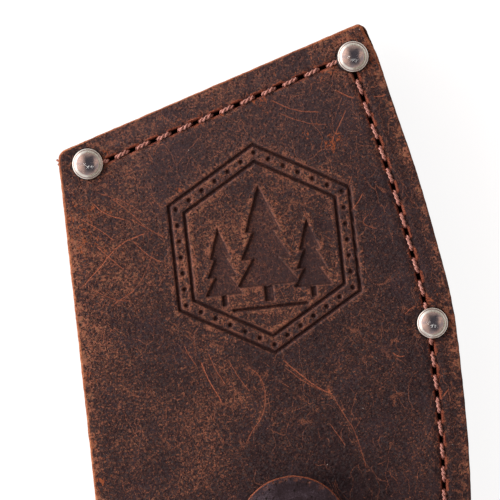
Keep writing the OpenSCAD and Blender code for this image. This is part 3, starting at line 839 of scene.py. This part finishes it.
def thread_fibre(name):
    """Waxed thread: fibres along each ply, with some dirt."""
    p = Paint(name)
    flat = p.field("flat", "Vector")
    strands = p.noise(p.stretch(flat, 0, (0.7, 9.0, 1.0)), 1.6, 2.0, 0.6, 0.4)
    tone = p.weigh(-0.05, (strands, 0.7), (p.noise(flat, 0.5, 3.0, 0.6), 0.4))
    colour = p.ramp(tone, (0.3, "6c352d"), (0.44, "a5695c"), (0.58, "bd897b"), (0.78, "d8b1a5"))
    return p.finish(colour, 0.62, p.bump(strands, 0.00008), Specular_IOR_Level=0.4, Sheen_Weight=0.2)


def plated_metal(name, light, rough, cad=False):
    """Handled metal, a little clouded and scuffed. CAD nodes carry no field, so they are read in place."""
    p = Paint(name)
    if cad:
        place = p.stretch(p.add("TexCoord").outputs["Object"], 0, (1000, 1000, 1000))
    else:
        place = p.field("flat", "Vector")
    cloud = p.noise(place, 0.6, 4.0, 0.65)
    scuffs = p.noise(p.stretch(place, 40, (0.3, 5.0, 1.0)), 2.2, 3.0, 0.7)
    grime = p.noise(place, 1.8, 4.0, 0.7)
    colour = p.mix(p.times(p.band(grime, 0.52, 0.75), 0.35), light, "8f857b")
    gloss = p.weigh(rough, (p.band(cloud, 0.4, 0.7), 0.1), (p.band(scuffs, 0.55, 0.7), 0.12))
    return p.finish(colour, gloss, p.bump(p.weigh(cloud, (scuffs, 0.35)), 0.00003), Metallic=1.0)


front_grain = grained_leather("sheath_leather_grain")
strap_grain = strap_leather("strap_leather_grain")
panel_cut = cut_leather("panel_cut_edge", "4a2419", "884a33", "b0704f")
welt_cut = cut_leather("welt_cut_edge", "3c2018", "6b3e2a", "95603f")
welt_face = cut_leather("welt_waxed_face", "1f100d", "2e1b16", "4a2f25")
strap_cut = cut_leather("strap_cut_edge", "552a1c", "8f4e33", "b57050")
flesh = flesh_leather("leather_flesh_side")
thread_material = thread_fibre("waxed_thread")
nickel = plated_metal("plated_cap", "ece7e2", 0.11)
nickel_inside = plated_metal("plated_tube", "cfcac3", 0.2, cad=True)
spring_steel = plated_metal("spring_wire", "a5a7a9", 0.28, cad=True)

# -------- The sheath's panels and welts --------

# Scratches in two channels, so that they may cross: (strength, then x and y of each point)
SCRATCHES = {
    "scratch_a": [
        (1.0, 27, -50.3, 27.9, -54, 30.7, -60), (0.6, 28.8, -48.5, 29.9, -52.2, 32, -56.3),
        (0.55, 36.9, -52.3, 40.3, -55, 40.6, -60.4, 39.2, -64.3, 36.7, -66.8, 34.7, -70.2),
        (0.9, 45.4, -51.9, 48.8, -55.6, 52.5, -59, 55.5, -60.7),
        (0.45, 58.6, -67.4, 59.4, -68.5, 61.5, -78.3),
        (1.0, 6.5, -12.1, 8.9, -14.8, 13.5, -16.7),
        (1.0, 1.7, -31, 6.2, -27.2, 9.3, -23.9, 12.2, -21.7, 15.5, -20.7, 17.8, -20.1),
        (0.9, 63.6, 7, 65.5, 5.7, 67.4, 4.8), (0.7, 65.4, 2.5, 63.4, -1.3, 61.7, -3.9),
        (0.8, 67.4, -16.5, 65.3, -19.2, 64, -20.4), (0.9, 80.3, -63.9, 81.6, -62.4),
        (0.7, 73.3, -44.6, 74.8, -43.4, 76, -43.2), (0.7, 49, 6.5, 54, 3.5, 59.5, 2.6),
        (0.55, 14.6, -16.6, 17.4, -18.5, 22, -21.7), (0.4, 12.8, -33.3, 15.5, -30.9, 17.8, -27.1, 19, -24.1),
    ],
    "scratch_b": [
        (0.8, 23.6, -46.1, 24.6, -49.1, 25.8, -50.9), (0.6, 33.1, -50.5, 35.1, -55, 37.2, -58.2),
        (0.6, 45.5, -53.4, 49.5, -57.5, 54.5, -60.2), (0.55, 55.1, -60.2, 58.6, -67.4),
        (0.7, 54.3, -67.3, 57.3, -72.7), (1.0, 69.9, -53, 71.2, -54, 72.5, -54),
        (0.9, 3.4, -15.3, 7.6, -18.3, 10.3, -20.9), (0.9, 6.5, -22, 8.8, -24.5, 12, -27.8),
        (0.8, 14.5, -21.3, 17.7, -25.3, 20.7, -27), (0.7, 10.7, -11.4, 14.8, -15, 18.4, -19.5),
        (0.6, 4.4, -31.5, 10.3, -34.9, 12.6, -34.7), (0.8, 8.5, -35.4, 11.6, -33.9, 13.8, -32.6),
        (0.9, 71.7, 4.8, 73.3, 4.6, 74.7, 4.9), (0.7, 65.3, -12.4, 63.6, -15.9),
        (0.6, 68.2, -21.3, 66, -23.1, 69.6, -24.9), (0.6, 50.5, 3.5, 56, 0.5, 61, -0.3),
        (0.5, 7.9, -9.9, 13.1, -12.1, 17.7, -15.6),
    ],
}

# Soft round patches by field: (x, y, radius, amount)
PATCHES = {
    "warm": [  # where the wax is rubbed thin or thick, with painted light and shadow: lighter towards the left, where the light comes from, and darker round the strap's tip
        # Painted light: the patches at the left side, (5, -22), (3, -45) and (4, -62), are partly the light's
        # falloff from the left and partly rubbed wax.
        (5, -22, 13, 0.1), (3, -45, 9, 0.08), (4, -62, 12, 0.05), (62, -5, 5, 0.03), (60, -9, 3, 0.02),
        (32, -60, 7, 0.07), (27, -72, 10, 0.05), (85, -53, 3.5, 0.2), (80, -7, 5, 0.12), (82.5, -16, 3, 0.14),
        (84, -30, 2.5, 0.12), (71, 12, 8, 0.12), (20, 1, 8, 0.045), (40, 7, 9, 0.06), (3, -2, 8, -0.07),
        (44, -26, 18, 0.1), (60, 13, 8, 0.085), (30, 4, 7, 0.055), (50, 10, 7, 0.06), (12, -3, 5, 0.06),
        # Painted shadow: (38.5, -76), (54.5, -82) and, on the next line, (31, -81) darken the leather round
        # the strap's tip, where its shadow falls.
        (65, -30, 16, -0.045), (50, -6, 7, 0.05), (38.5, -76, 5.5, -0.12), (54.5, -82, 4, -0.18),
        (31, -81, 5, -0.07), (75, -20, 9, -0.07), (58, -72, 15, -0.08), (30, -4, 9, -0.04), (60, 4, 9, -0.05),
        (44, -48, 6, -0.03), (67, -44, 10, -0.06), (38, -71, 8, -0.1), (72, -90, 16, -0.03),
        (20, -95, 18, 0.02), (50, -110, 14, 0.03),
    ],
    "cool": [(22, 0, 16, 0.28), (52, 6, 16, 0.26), (78, -30, 12, 0.1)],  # where the leather is greyer
    "flakes": [  # where the wax has come off in bright orange flakes
        (61.7, -4.0, 2.9, 0.85), (55.9, -1.9, 0.9, 1.2), (2, -20, 5, 0.6), (1, -12, 2.5, 0.55),
        (6, -14, 1.6, 0.7), (9.9, -14.5, 1.3, 0.7), (26.6, -10.9, 1.2, 0.8), (1, -74, 3, 0.7),
        (0.5, -67, 3, 0.8), (79.4, -41.5, 1.8, 0.8), (46.7, 7, 1.4, 0.8), (72.5, 13.4, 1.8, 0.7),
        (61.6, 11.6, 2.2, 0.7), (31.7, 3.2, 1.5, 0.8), (68.5, 18.6, 1.6, 0.8), (11.2, -1.9, 1.5, 0.8),
        (1, -51, 2.5, 0.6), (38, 4.2, 1.4, 0.7), (26, 2, 1.3, 0.7),
    ],
}

# Rubbed trails: (half width, amount, then x, y of each point)
TRAILS = [
    (0.55, 0.1, 36.9, -52.3, 40.3, -55, 40.6, -60.4, 39.2, -64.3, 36.7, -66.8, 34.7, -70.2),
    (0.8, 0.1, 39.2, -63, 38.4, -65.4, 36.7, -66.8), (1.0, 0.08, 32, -53, 33.4, -57, 35.8, -60.5),
    (0.8, 0.12, 55.1, -60.2, 58.6, -67.4, 61.5, -78.3), (0.9, 0.08, 45.4, -51.9, 50, -56.8, 55.5, -60.7),
]


def wear_and_shade_fields(points):
    """How worn, grey and flaked the leather is, with painted light and shadow among the warm patches, from
    the patches and trails.
    """
    fields = {
        name: sum(amount * bell(norms(points - [x, y]), radius) for x, y, radius, amount in places)
        for name, places in PATCHES.items()
    }
    for width, amount, *path in TRAILS:
        fields["warm"] += amount * bell(line_distance(points, rounded_path(np.reshape(path, (-1, 2)))), width)
    return fields


def rim_width(points):
    """The cut rim is bevelled more on the open side and at the edge corner than elsewhere."""
    corner = norms(points - near_corner(0, 0))
    return 0.32 + 0.18 * smooth(-points[:, 0], -5, -1) + 0.3 * smooth(14 - corner, 0, 6)


def rim_wear(points):
    """(how raw the cut rim is, how scuffed the leather along it is): the curved side has kept its wax."""
    run, depth, _ = edge_run(points)
    curved = smooth(depth, 4.5, 2) * smooth(run, 8, 16)
    left = smooth(points[:, 0], 8, 3) * smooth(-points[:, 1], 9, 16)
    corner = smooth(norms(points - RIVET_PLACES[0]), 13, 8)
    return 1 - 0.8 * curved, 0.55 + 0.6 * curved + 0.5 * left - 0.3 * corner


def bevel(edge, width, depth):
    t = np.clip(1 - edge / width, 0, 1)
    return -depth * (1 - np.sqrt(np.clip(1 - t * t, 0, 1)))


def dimple(rivet, depth, reach):
    """The leather is pressed down round a cap, rivet millimetres from its rim."""
    return -depth * bell(np.maximum(rivet, 0), reach)


def panel_surface(front, rivet_places):
    """The face of a panel; only the front one is stamped, scratched and flat under the press stud."""

    def surface(points, edge):
        x, y = points.T
        rim = rim_width(points)
        raw, scuff = rim_wear(points)
        hole, outer = hole_fields(points)
        rivet = place_distance(points, rivet_places) - CAP_R
        seam = seam_distance(points)
        stamp = stamp_distance(points) if front else np.full(len(points), 9.0)
        torn = smooth(outer, 0.05, 0.5) * smooth(noise2(x, y, 1.3, 8), -0.8, 0.3)
        lip = bell(hole - 0.32, 0.3) * (0.55 + 0.45 * torn)
        # Waves and grain, then the stitches' groove, the rivets' dimples, the awl holes and the stamp
        height = (0.11 * noise2(x, y, 24, 1) + 0.05 * noise2(x, y, 9, 2)) * smooth(rivet, 0, 3)
        height += 0.018 * noise2(x, y, 2.4, 6) + 0.01 * noise2(x, y, 1.1, 7)
        height += 0.07 * bell(seam - 2.0, 0.9) - 0.38 * bell(seam, 0.85) * smooth(rivet, -1, 1.5)
        height += dimple(rivet, 0.22, 1.3) * smooth(rivet, -1.2, 0.3)
        height += 0.26 * lip - 2.0 * smooth(-hole, -0.06, 0.3)
        height += 0.05 * bell(stamp - 0.5, 0.4) - STAMP_DEPTH * 1.15 * smooth(-stamp, -0.05, 0.36)
        height = np.maximum(height, -2.3)
        height += bevel(edge, rim, 0.36) - 0.1 * bell(edge, 2.2)
        if front:
            snap_r = norms(points - SNAP_PLACE)
            height = np.where(snap_r < 5, height * smooth(snap_r, 4, 5), height)
        fields = wear_and_shade_fields(points)
        fields.update(rim=rim, raw=raw, scuff=scuff, hole=hole, lip=lip, rivet=rivet, stamp=stamp)
        for channel, scratches in SCRATCHES.items():
            fields[channel], mask = scratch_fields(points, scratches)
            fields[channel + "_mask"] = mask * front
        return np.minimum(height, 0.35), fields

    return surface


def front_place(points):
    return in_row(hand_cut(points, FRONT_SETBACK), Z_INNER)


def back_place(points):
    return in_row(hand_cut(points) * [1, 1, -1], Z_WELT)


# The grids of the panels, finest where the seams and the stamp are: (up to this many millimetres, spacing)
ACROSS, DOWN = 86, 129
front_grid = (
    with_rims(ACROSS, [(3, 0.36), (22, 0.5), (66, 0.32), (72, 0.45), (ACROSS, 0.3)]),
    with_rims(DOWN, [(3, 0.32), (12, 0.3), (16, 0.45), (64, 0.32), (DOWN, 0.55)]),
)
back_grid = (
    with_rims(ACROSS, [(3, 0.5), (70, 0.9), (76, 0.5), (ACROSS, 0.34)]),
    with_rims(DOWN, [(3, 0.5), (12, 0.34), (18, 0.7), (DOWN, 0.8)]),
)
panel_materials = [front_grain, panel_cut, flesh]
front_panel = slab(
    "front_panel_leather", sheath_sides(FRONT_CORNER_R), *front_grid, Z_FRONT - Z_INNER,
    panel_surface(True, RIVET_PLACES), front_place, panel_materials,
)
back_panel = slab(
    "back_panel_leather", sheath_sides(UNDER_CORNER_R), *back_grid, Z_WELT - Z_BACK,
    panel_surface(False, RIVET_PLACES + STRAP_RIVET_PLACES), back_place, panel_materials, mirrored=True,
)

inner_r = EDGE_R - WELT_W
c1, c2, c3, _ = corner_centres(UNDER_CORNER_R)
edge_welt = welt("edge_welt_leather", np.vstack([
    arc(EDGE_CENTRE, inner_r, bearing(near_corner(0, WELT_W)), bearing(near_strap_corner(0, WELT_W)), 80),
    arc(c3, STRAP_CORNER_R, -pi / 2, bearing(c3), 8),
    arc(EDGE_CENTRE, EDGE_R, bearing(c3), bearing(c2), 120),
    arc(c2, UNDER_CORNER_R, bearing(c2), END_ANGLE, 8),
]), seed=2)
gap_low, gap_top = near_corner(WELT_W, WELT_W + WELT_GAP), near_corner(0, WELT_W + WELT_GAP)
end_welt = welt("end_welt_leather", np.vstack([
    [gap_top],
    arc(c1, OPEN_CORNER_R, END_ANGLE, pi, 10),
    [[0, -WELT_W / cos(SLOPE)]],
    arc(EDGE_CENTRE, inner_r - WELT_GAP, bearing(gap_low), bearing(gap_top), 12)[:-1],
]), seed=7)

stand_for(front_panel, "sheath_leather", "sheath", "front_panel")
stand_for(back_panel, "sheath_leather", "sheath", "back_panel")
stand_for(edge_welt, "welt_leather", "sheath", "edge_welt")
stand_for(end_welt, "welt_leather", "sheath", "end_welt")

# -------- Threads --------

LEG = AWL_LENGTH / 2 - 0.32  # from an awl hole's middle to where the thread dives into it
SHORTEST_STITCH = 0.5
CAP_GAP, UNDER_CAP = 0.05, 0.3  # a stitch beside a rivet is left out or runs this far in under the cap
STITCH_STEPS, DIVE = 34, 2.1  # points along a stitch, and how deep its ends dive

# The thread's cut ends, caught between the layers at the open corner: heights over the panel's inner face
THREAD_TAILS = [
    [(1.6, -2.2, -0.3), (0.4, -1.9, -0.2), (-0.2, -1.65, 0), (-0.5, -1.45, 0.1)],
    [(1.6, -3.0, -0.5), (0.3, -2.7, -0.4), (-0.35, -2.5, -0.5)],
]


def stitch(seam, start, stop, face, up, dips=(1, 1), phase=0.0):
    """A stretch of thread between two holes: it lies in the groove and dives at its ends."""
    s = np.linspace(start, stop, STITCH_STEPS)
    places = np.array([on_seam(seam, value)[0] for value in s])
    angle = on_seam(seam, (start + stop) / 2)[1]
    aside = np.array([-sin(angle), cos(angle)])
    h = (s - start) / (stop - start) * 2 - 1
    places = places + aside * (h * tan(STITCH_TURN) * (stop - start) / 2 * 0.9)[:, None]
    dive = np.where(h < 0, *dips) * np.abs(h) ** 9 * DIVE
    z = face + up * (-GROOVE_DEPTH + THREAD_D / 2 + 0.02 + 0.1 * (1 - h * h) - dive)
    return rope(in_row(hand_cut(np.column_stack([places, z]))), phase)


def thread(seam, face, up):
    """All stitches of one seam on one face, with short ones that run in under the caps where they fit."""
    holes = seam_holes(seam)
    parts = [
        stitch(seam, a + LEG, b - LEG, face, up, phase=i * 1.3)
        for i, (a, b) in enumerate(zip(holes[:-1], holes[1:]))
    ]
    start, stop = SEAM_RIVETS[seam][0] + CAP_R + CAP_GAP, SEAM_RIVETS[seam][1] - CAP_R - CAP_GAP
    if holes[0] - LEG - start > SHORTEST_STITCH:
        parts.append(stitch(seam, start - UNDER_CAP, holes[0] - LEG, face, up, (0.1, 1), 0.4))
    if stop - holes[-1] - LEG > SHORTEST_STITCH:
        parts.append(stitch(seam, holes[-1] + LEG, stop + UNDER_CAP, face, up, (1, 0.1), 2.4))
    if seam == 0 and up > 0:
        tails = [rounded_path(in_row(np.array(path), Z_INNER), 2) for path in THREAD_TAILS]
        parts += [rope(tail, ply_r=0.19, offset=0.15, pitch=1.6) for tail in tails]
    return parts


for seam, name in enumerate(("end_seam", "upper_edge_seam", "lower_edge_seam")):
    for side, face, up in (("front", Z_FRONT, 1), ("back", Z_BACK, -1)):
        node = f"{name}_{side}_thread"
        piece = join_parts(f"{node}_twist", thread(seam, face, up), thread_material)
        stand_for(piece, "thread", "sheath", node)

# -------- Rivets and press stud --------

# A low crown, a steeper shoulder past a faint crease, and a narrow rolled rim:
# slopes in degrees at shares of the radius
RIVET_SLOPES = [
    (0, 0), (0.68, 25), (0.74, 37), (0.86, 43), (0.89, 10), (0.92, 33), (0.975, 43), (0.99, 64), (1, 86),
]
SNAP_SLOPES = [
    (0, 0), (0.8, 19), (0.84, 30), (0.9, 36), (0.915, 6), (0.94, 30), (0.98, 43), (0.99, 62), (1, 86),
]


def domed(radius, crown, slopes):
    """A domed cap's profile, its slopes summed from the crown out."""
    r = np.concatenate([np.linspace(0, 0.7, 16), np.linspace(0.7, 1, 26)[1:]]) * radius
    slope = np.radians(np.interp(r / radius, *zip(*slopes)))
    drop = np.concatenate([[0], np.cumsum(np.diff(r) * np.tan((slope[1:] + slope[:-1]) / 2))])
    return np.vstack([[[radius - 0.1, -0.2], [radius, -0.1]], np.column_stack([r, crown - drop])[::-1]])


# A flat cap's profile, with a faint ring pressed near its rim: (inside the cap's rim, under its top)
FLAT_RIM = [(0.15, FLAT_CAP_H + 0.2), (0, FLAT_CAP_H + 0.05), (0, 0.45), (0.16, 0.12), (0.55, 0), (1.1, 0.01),
            (1.3, 0.05), (1.5, 0.02), (CAP_R - 0.3, 0)]
flat_cap = np.vstack([rounded_path([CAP_R, FLAT_CAP_H] - np.array(FLAT_RIM), 2), [[0, FLAT_CAP_H]]])
rivet_dome, snap_dome = domed(CAP_R, RIVET_CROWN, RIVET_SLOPES), domed(SNAP_R, SNAP_CROWN, SNAP_SLOPES)


def cap(node, shape, profile, place, z, down=False, wobble=0.008, body="sheath"):
    """wobble is how far the cap's face is off its true shape."""
    piece = lathe(f"{node}_{shape}", profile, place, z, down, wobble)
    stand_for(piece, "nickel_plated_steel", body, node)


for name, place in zip(RIVETS, RIVET_PLACES):
    place = hand_cut(place[None])[0]
    cap(f"{name}_cap", "dome", rivet_dome, place, Z_FRONT, wobble=0.012)
    cap(f"{name}_back_cap", "disc", flat_cap, place, Z_BACK, down=True)
root_lo, root_hi = box_mm("strap_root")
flap_lo, flap_hi = box_mm("strap_flap")
for name, place in zip(STRAP_RIVETS, STRAP_RIVET_PLACES):
    cap(f"{name}_inner_cap", "disc", flat_cap, place, Z_WELT)
    cap(f"{name}_outer_cap", "disc", flat_cap, place, root_lo[2], down=True)
cap("snap_cap", "dome", snap_dome, SNAP_PLACE, flap_hi[2], wobble=0.015, body="strap_flap")

for name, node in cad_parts.items():
    if name.endswith(("_socket", "_stem", "_stud", "_eyelet", "_spring")):
        node.data.materials.clear()
        node.data.materials.append(spring_steel if name == "snap_spring" else nickel_inside)

# -------- The strap, folded up round the sheath's end --------

bridge_lo, bridge_hi = box_mm("strap_bridge")
STRAP_T, STRAP_W = root_hi[2] - root_lo[2], root_hi[0] - root_lo[0]
FOLD_Y = (bridge_lo[1] + bridge_hi[1]) / 2
ROOT_Z, FLAP_Z = (root_lo[2] + root_hi[2]) / 2, (flap_lo[2] + flap_hi[2]) / 2
MID_Z, HALF_RISE = (ROOT_Z + FLAP_Z) / 2, (FLAP_Z - ROOT_Z) / 2
BEND_R = 2.6
BEND = BEND_R * pi / 2
STRAIGHT = HALF_RISE - BEND_R  # from the bridge's middle to a bend
STRAP_STEP = 0.5


def strap_path(s, sign):
    """(y, z, outward y, outward z) at s millimetres from the bridge's middle, up (1) or down (-1)."""
    angle = np.clip((s - STRAIGHT) / BEND_R, 0, pi / 2)
    past = np.maximum(s - STRAIGHT - BEND, 0)
    y = FOLD_Y + BEND_R * (1 - np.cos(angle)) + past
    z = np.minimum(s, STRAIGHT) + BEND_R * np.sin(angle)
    return y, MID_Z + sign * z, -np.cos(angle), sign * np.sin(angle)


def strap_piece(name, up, tip_y, caps, cap_r):
    """Half of the strap, from the bridge's middle to its rounded tip: the flap (up) or the root."""
    sign = 1 if up else -1
    length = STRAIGHT + BEND + (tip_y - (FOLD_Y + BEND_R))
    flat_from = [root_lo[0], FOLD_Y + BEND_R - STRAIGHT - BEND]
    caps = [place + ORIGIN - flat_from for place in caps]
    half, quarter = STRAP_W / 2, pi / 4
    centre = np.array([half, length - half])
    top = arc(centre, half, 3 * quarter, quarter, 24)
    left = np.vstack([arc(centre, half, 3 * quarter, pi, 12), [[0, 0]]])
    right = np.vstack([arc(centre, half, quarter, 0, 12), [[STRAP_W, 0]]])
    bottom = np.array([[0.0, 0.0], [STRAP_W, 0.0]])

    def surface(points, edge):
        x, y = points.T
        height = bevel(edge, 0.28, 0.2) + 0.05 * noise2(x, y, 11, 12) * smooth(edge, 0, 2)
        height += 0.016 * noise2(x, y, 1.7, 13)
        height += dimple(place_distance(points, caps) - cap_r, 0.2, 1.6) * smooth(y, 8, 14)
        # Painted highlight: the flap is made lighter near the left of its tip, where the light catches it.
        sheen = bell(x - 4.5, 6) * bell(y - length + 8, 8) * up
        return height, {"rim": np.full(len(points), 0.3), "fold": y - STRAIGHT - BEND / 2, "sheen": sheen}

    def place(points):
        x, s, h = points.T
        y, z, out_y, out_z = strap_path(np.maximum(s, 0), sign)
        out = h - STRAP_T / 2
        return np.column_stack([root_lo[0] + x, y + out_y * out, z + out_z * out])

    # The rim runs round the cut outline, not across the joint in the bridge's middle, where the grain runs on
    return slab(
        name, (top, bottom, left, right), with_rims(STRAP_W, [(30, STRAP_STEP)]),
        np.linspace(0, 1, int(length / STRAP_STEP)), STRAP_T, surface, place, [strap_grain, strap_cut, flesh],
        mirrored=not up, cut_line=np.vstack([left[::-1], top, right]), grain=(1, sign, 1),
        inner_grid=True, wall_rows=5, fray=0.05, nibble=0.0,
    )


flap = strap_piece("strap_flap_leather", True, flap_hi[1], [SNAP_PLACE], SNAP_R)
root = strap_piece("strap_root_leather", False, root_hi[1], STRAP_RIVET_PLACES, CAP_R)
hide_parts("strap_flap", "strap_bridge")
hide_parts("strap_root")
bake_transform(flap)
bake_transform(root)

# -------- Floor, light and camera --------

FLOOR_HALF = 3000
LENS, SENSOR = 288.0, 36.0
CAMERA_UP = 900  # millimetres over the front panel's face
CAMERA_TURN = radians(-6.28)
LOOK = np.array([40.69, -26.46])


def floor_material():
    """White to the camera and in reflections, pale grey to the light that falls on the object."""
    p = Paint("studio_floor")
    ray = p.add("LightPath").outputs
    seen = p.math("MAXIMUM", ray["Is Camera Ray"], ray["Is Glossy Ray"])
    seen = p.math("MAXIMUM", seen, ray["Is Transmission Ray"])
    plain, dim = (p.add("BsdfDiffuse", {"Color": (grey, grey, grey, 1)}).outputs[0] for grey in (0.82, 0.22))
    glow = p.add("Emission", {"Strength": 0.9}).outputs[0]
    both = p.add("AddShader", {0: dim, 1: glow}).outputs[0]
    return p.close("OutputMaterial", p.add("MixShader", {0: seen, 1: plain, 2: both}).outputs[0])


corners = [(x * FLOOR_HALF, y * FLOOR_HALF, 0) for x, y in ((-1, -1), (1, -1), (1, 1), (-1, 1))]
make_object("studio_floor", corners, [[0, 1, 2, 3]], [floor_material()])


def studio_world():
    """A dim room seen from the table: a dark figure overhead, warm clutter beside it, paler walls."""
    p = Paint("studio", bpy.data.worlds)
    direction = p.add("TexCoord").outputs["Generated"]
    x, y, z = p.add("SeparateXYZ", {0: direction}).outputs
    clutter = p.noise(direction, 3.5, 3.0, 0.6, 0.6)
    ceiling = p.ramp(clutter, (0.36, "8f8388"), (0.5, "b39a94"), (0.62, "cfaa9d"))
    outline = p.swing(clutter, 0.5)
    figure = p.times(p.near(p.sum(x, -0.12, outline), 0.56, 0.22), p.near(p.sum(y, outline), 0.9, 0.45))
    # Walls: bright on the window's side, olive with small glints on the other
    glints = p.band(p.noise(direction, 11.0, 2.0, 0.6), 0.56, 0.64)
    wall = p.mix(p.band(x, 0.1, -0.35), p.mix(glints, "8a8172", "f2efe9"), "e9e4df")
    colour = p.layers(
        ceiling, (figure, 1.0, "464249"), (p.band(z, 0.5, 0.3), 1.0, wall),
        (p.band(z, 0.14, 0.05), 1.0, "f1ece4"),
    )
    # The window's glow, strongest low down on its side
    towards = p.weigh(0.0, (x, -0.93), (y, 0.27), (z, 0.26))
    strength = p.weigh(1.0, (p.band(towards, 0.62, 0.97), 1.5))
    return p.close("OutputWorld", p.add("Background", {"Color": colour, "Strength": strength}).outputs[0])


bpy.context.scene.world = studio_world()

# Lamps: name, azimuth from +x towards +y, elevation, distance, sizes and watts. The room's bright wall
# stands for the windows in the metal, where their hard edges would show.
for name, azimuth, elevation, distance, width, height, watts in (
    ("window_middle", 164, 23, 0.8, 0.8, 0.5, 7.6),
    ("window_left", 214, 15, 0.85, 0.75, 0.34, 2.0),
    ("window_right", 112, 17, 0.85, 0.75, 0.38, 3.2),
    ("spot_0", 171, 73, 1.2, 0.07, 0.07, 0.06),
    ("spot_1", 264, 78, 1.2, 0.07, 0.07, 0.06),
    ("spot_2", 315, 68, 1.2, 0.07, 0.07, 0.06),
):
    lamp = bpy.data.lights.new(name, "AREA")
    lamp.shape, lamp.size, lamp.size_y, lamp.energy = "RECTANGLE", width, height, watts
    softbox = bpy.data.objects.new(name, lamp)
    a, e = radians(azimuth), radians(elevation)
    softbox.location = Vector((cos(a) * cos(e), sin(a) * cos(e), sin(e))) * distance
    softbox.rotation_euler = (-softbox.location).to_track_quat("-Z", "Y").to_euler()
    softbox.visible_glossy = not name.startswith("window")
    bpy.context.scene.collection.objects.link(softbox)

camera_data = bpy.data.cameras.new("camera")
camera_data.sensor_width, camera_data.lens = SENSOR, LENS
camera_data.clip_start, camera_data.clip_end = 0.05, 20.0
camera = bpy.data.objects.new("camera", camera_data)
bpy.context.scene.collection.objects.link(camera)
camera.location = [value / 1000 for value in (*(LOOK + ORIGIN), Z_FRONT + CAMERA_UP)]
camera.rotation_euler = (0, 0, CAMERA_TURN)
bpy.context.scene.camera = camera
bpy.context.scene.view_settings.view_transform = "Standard"
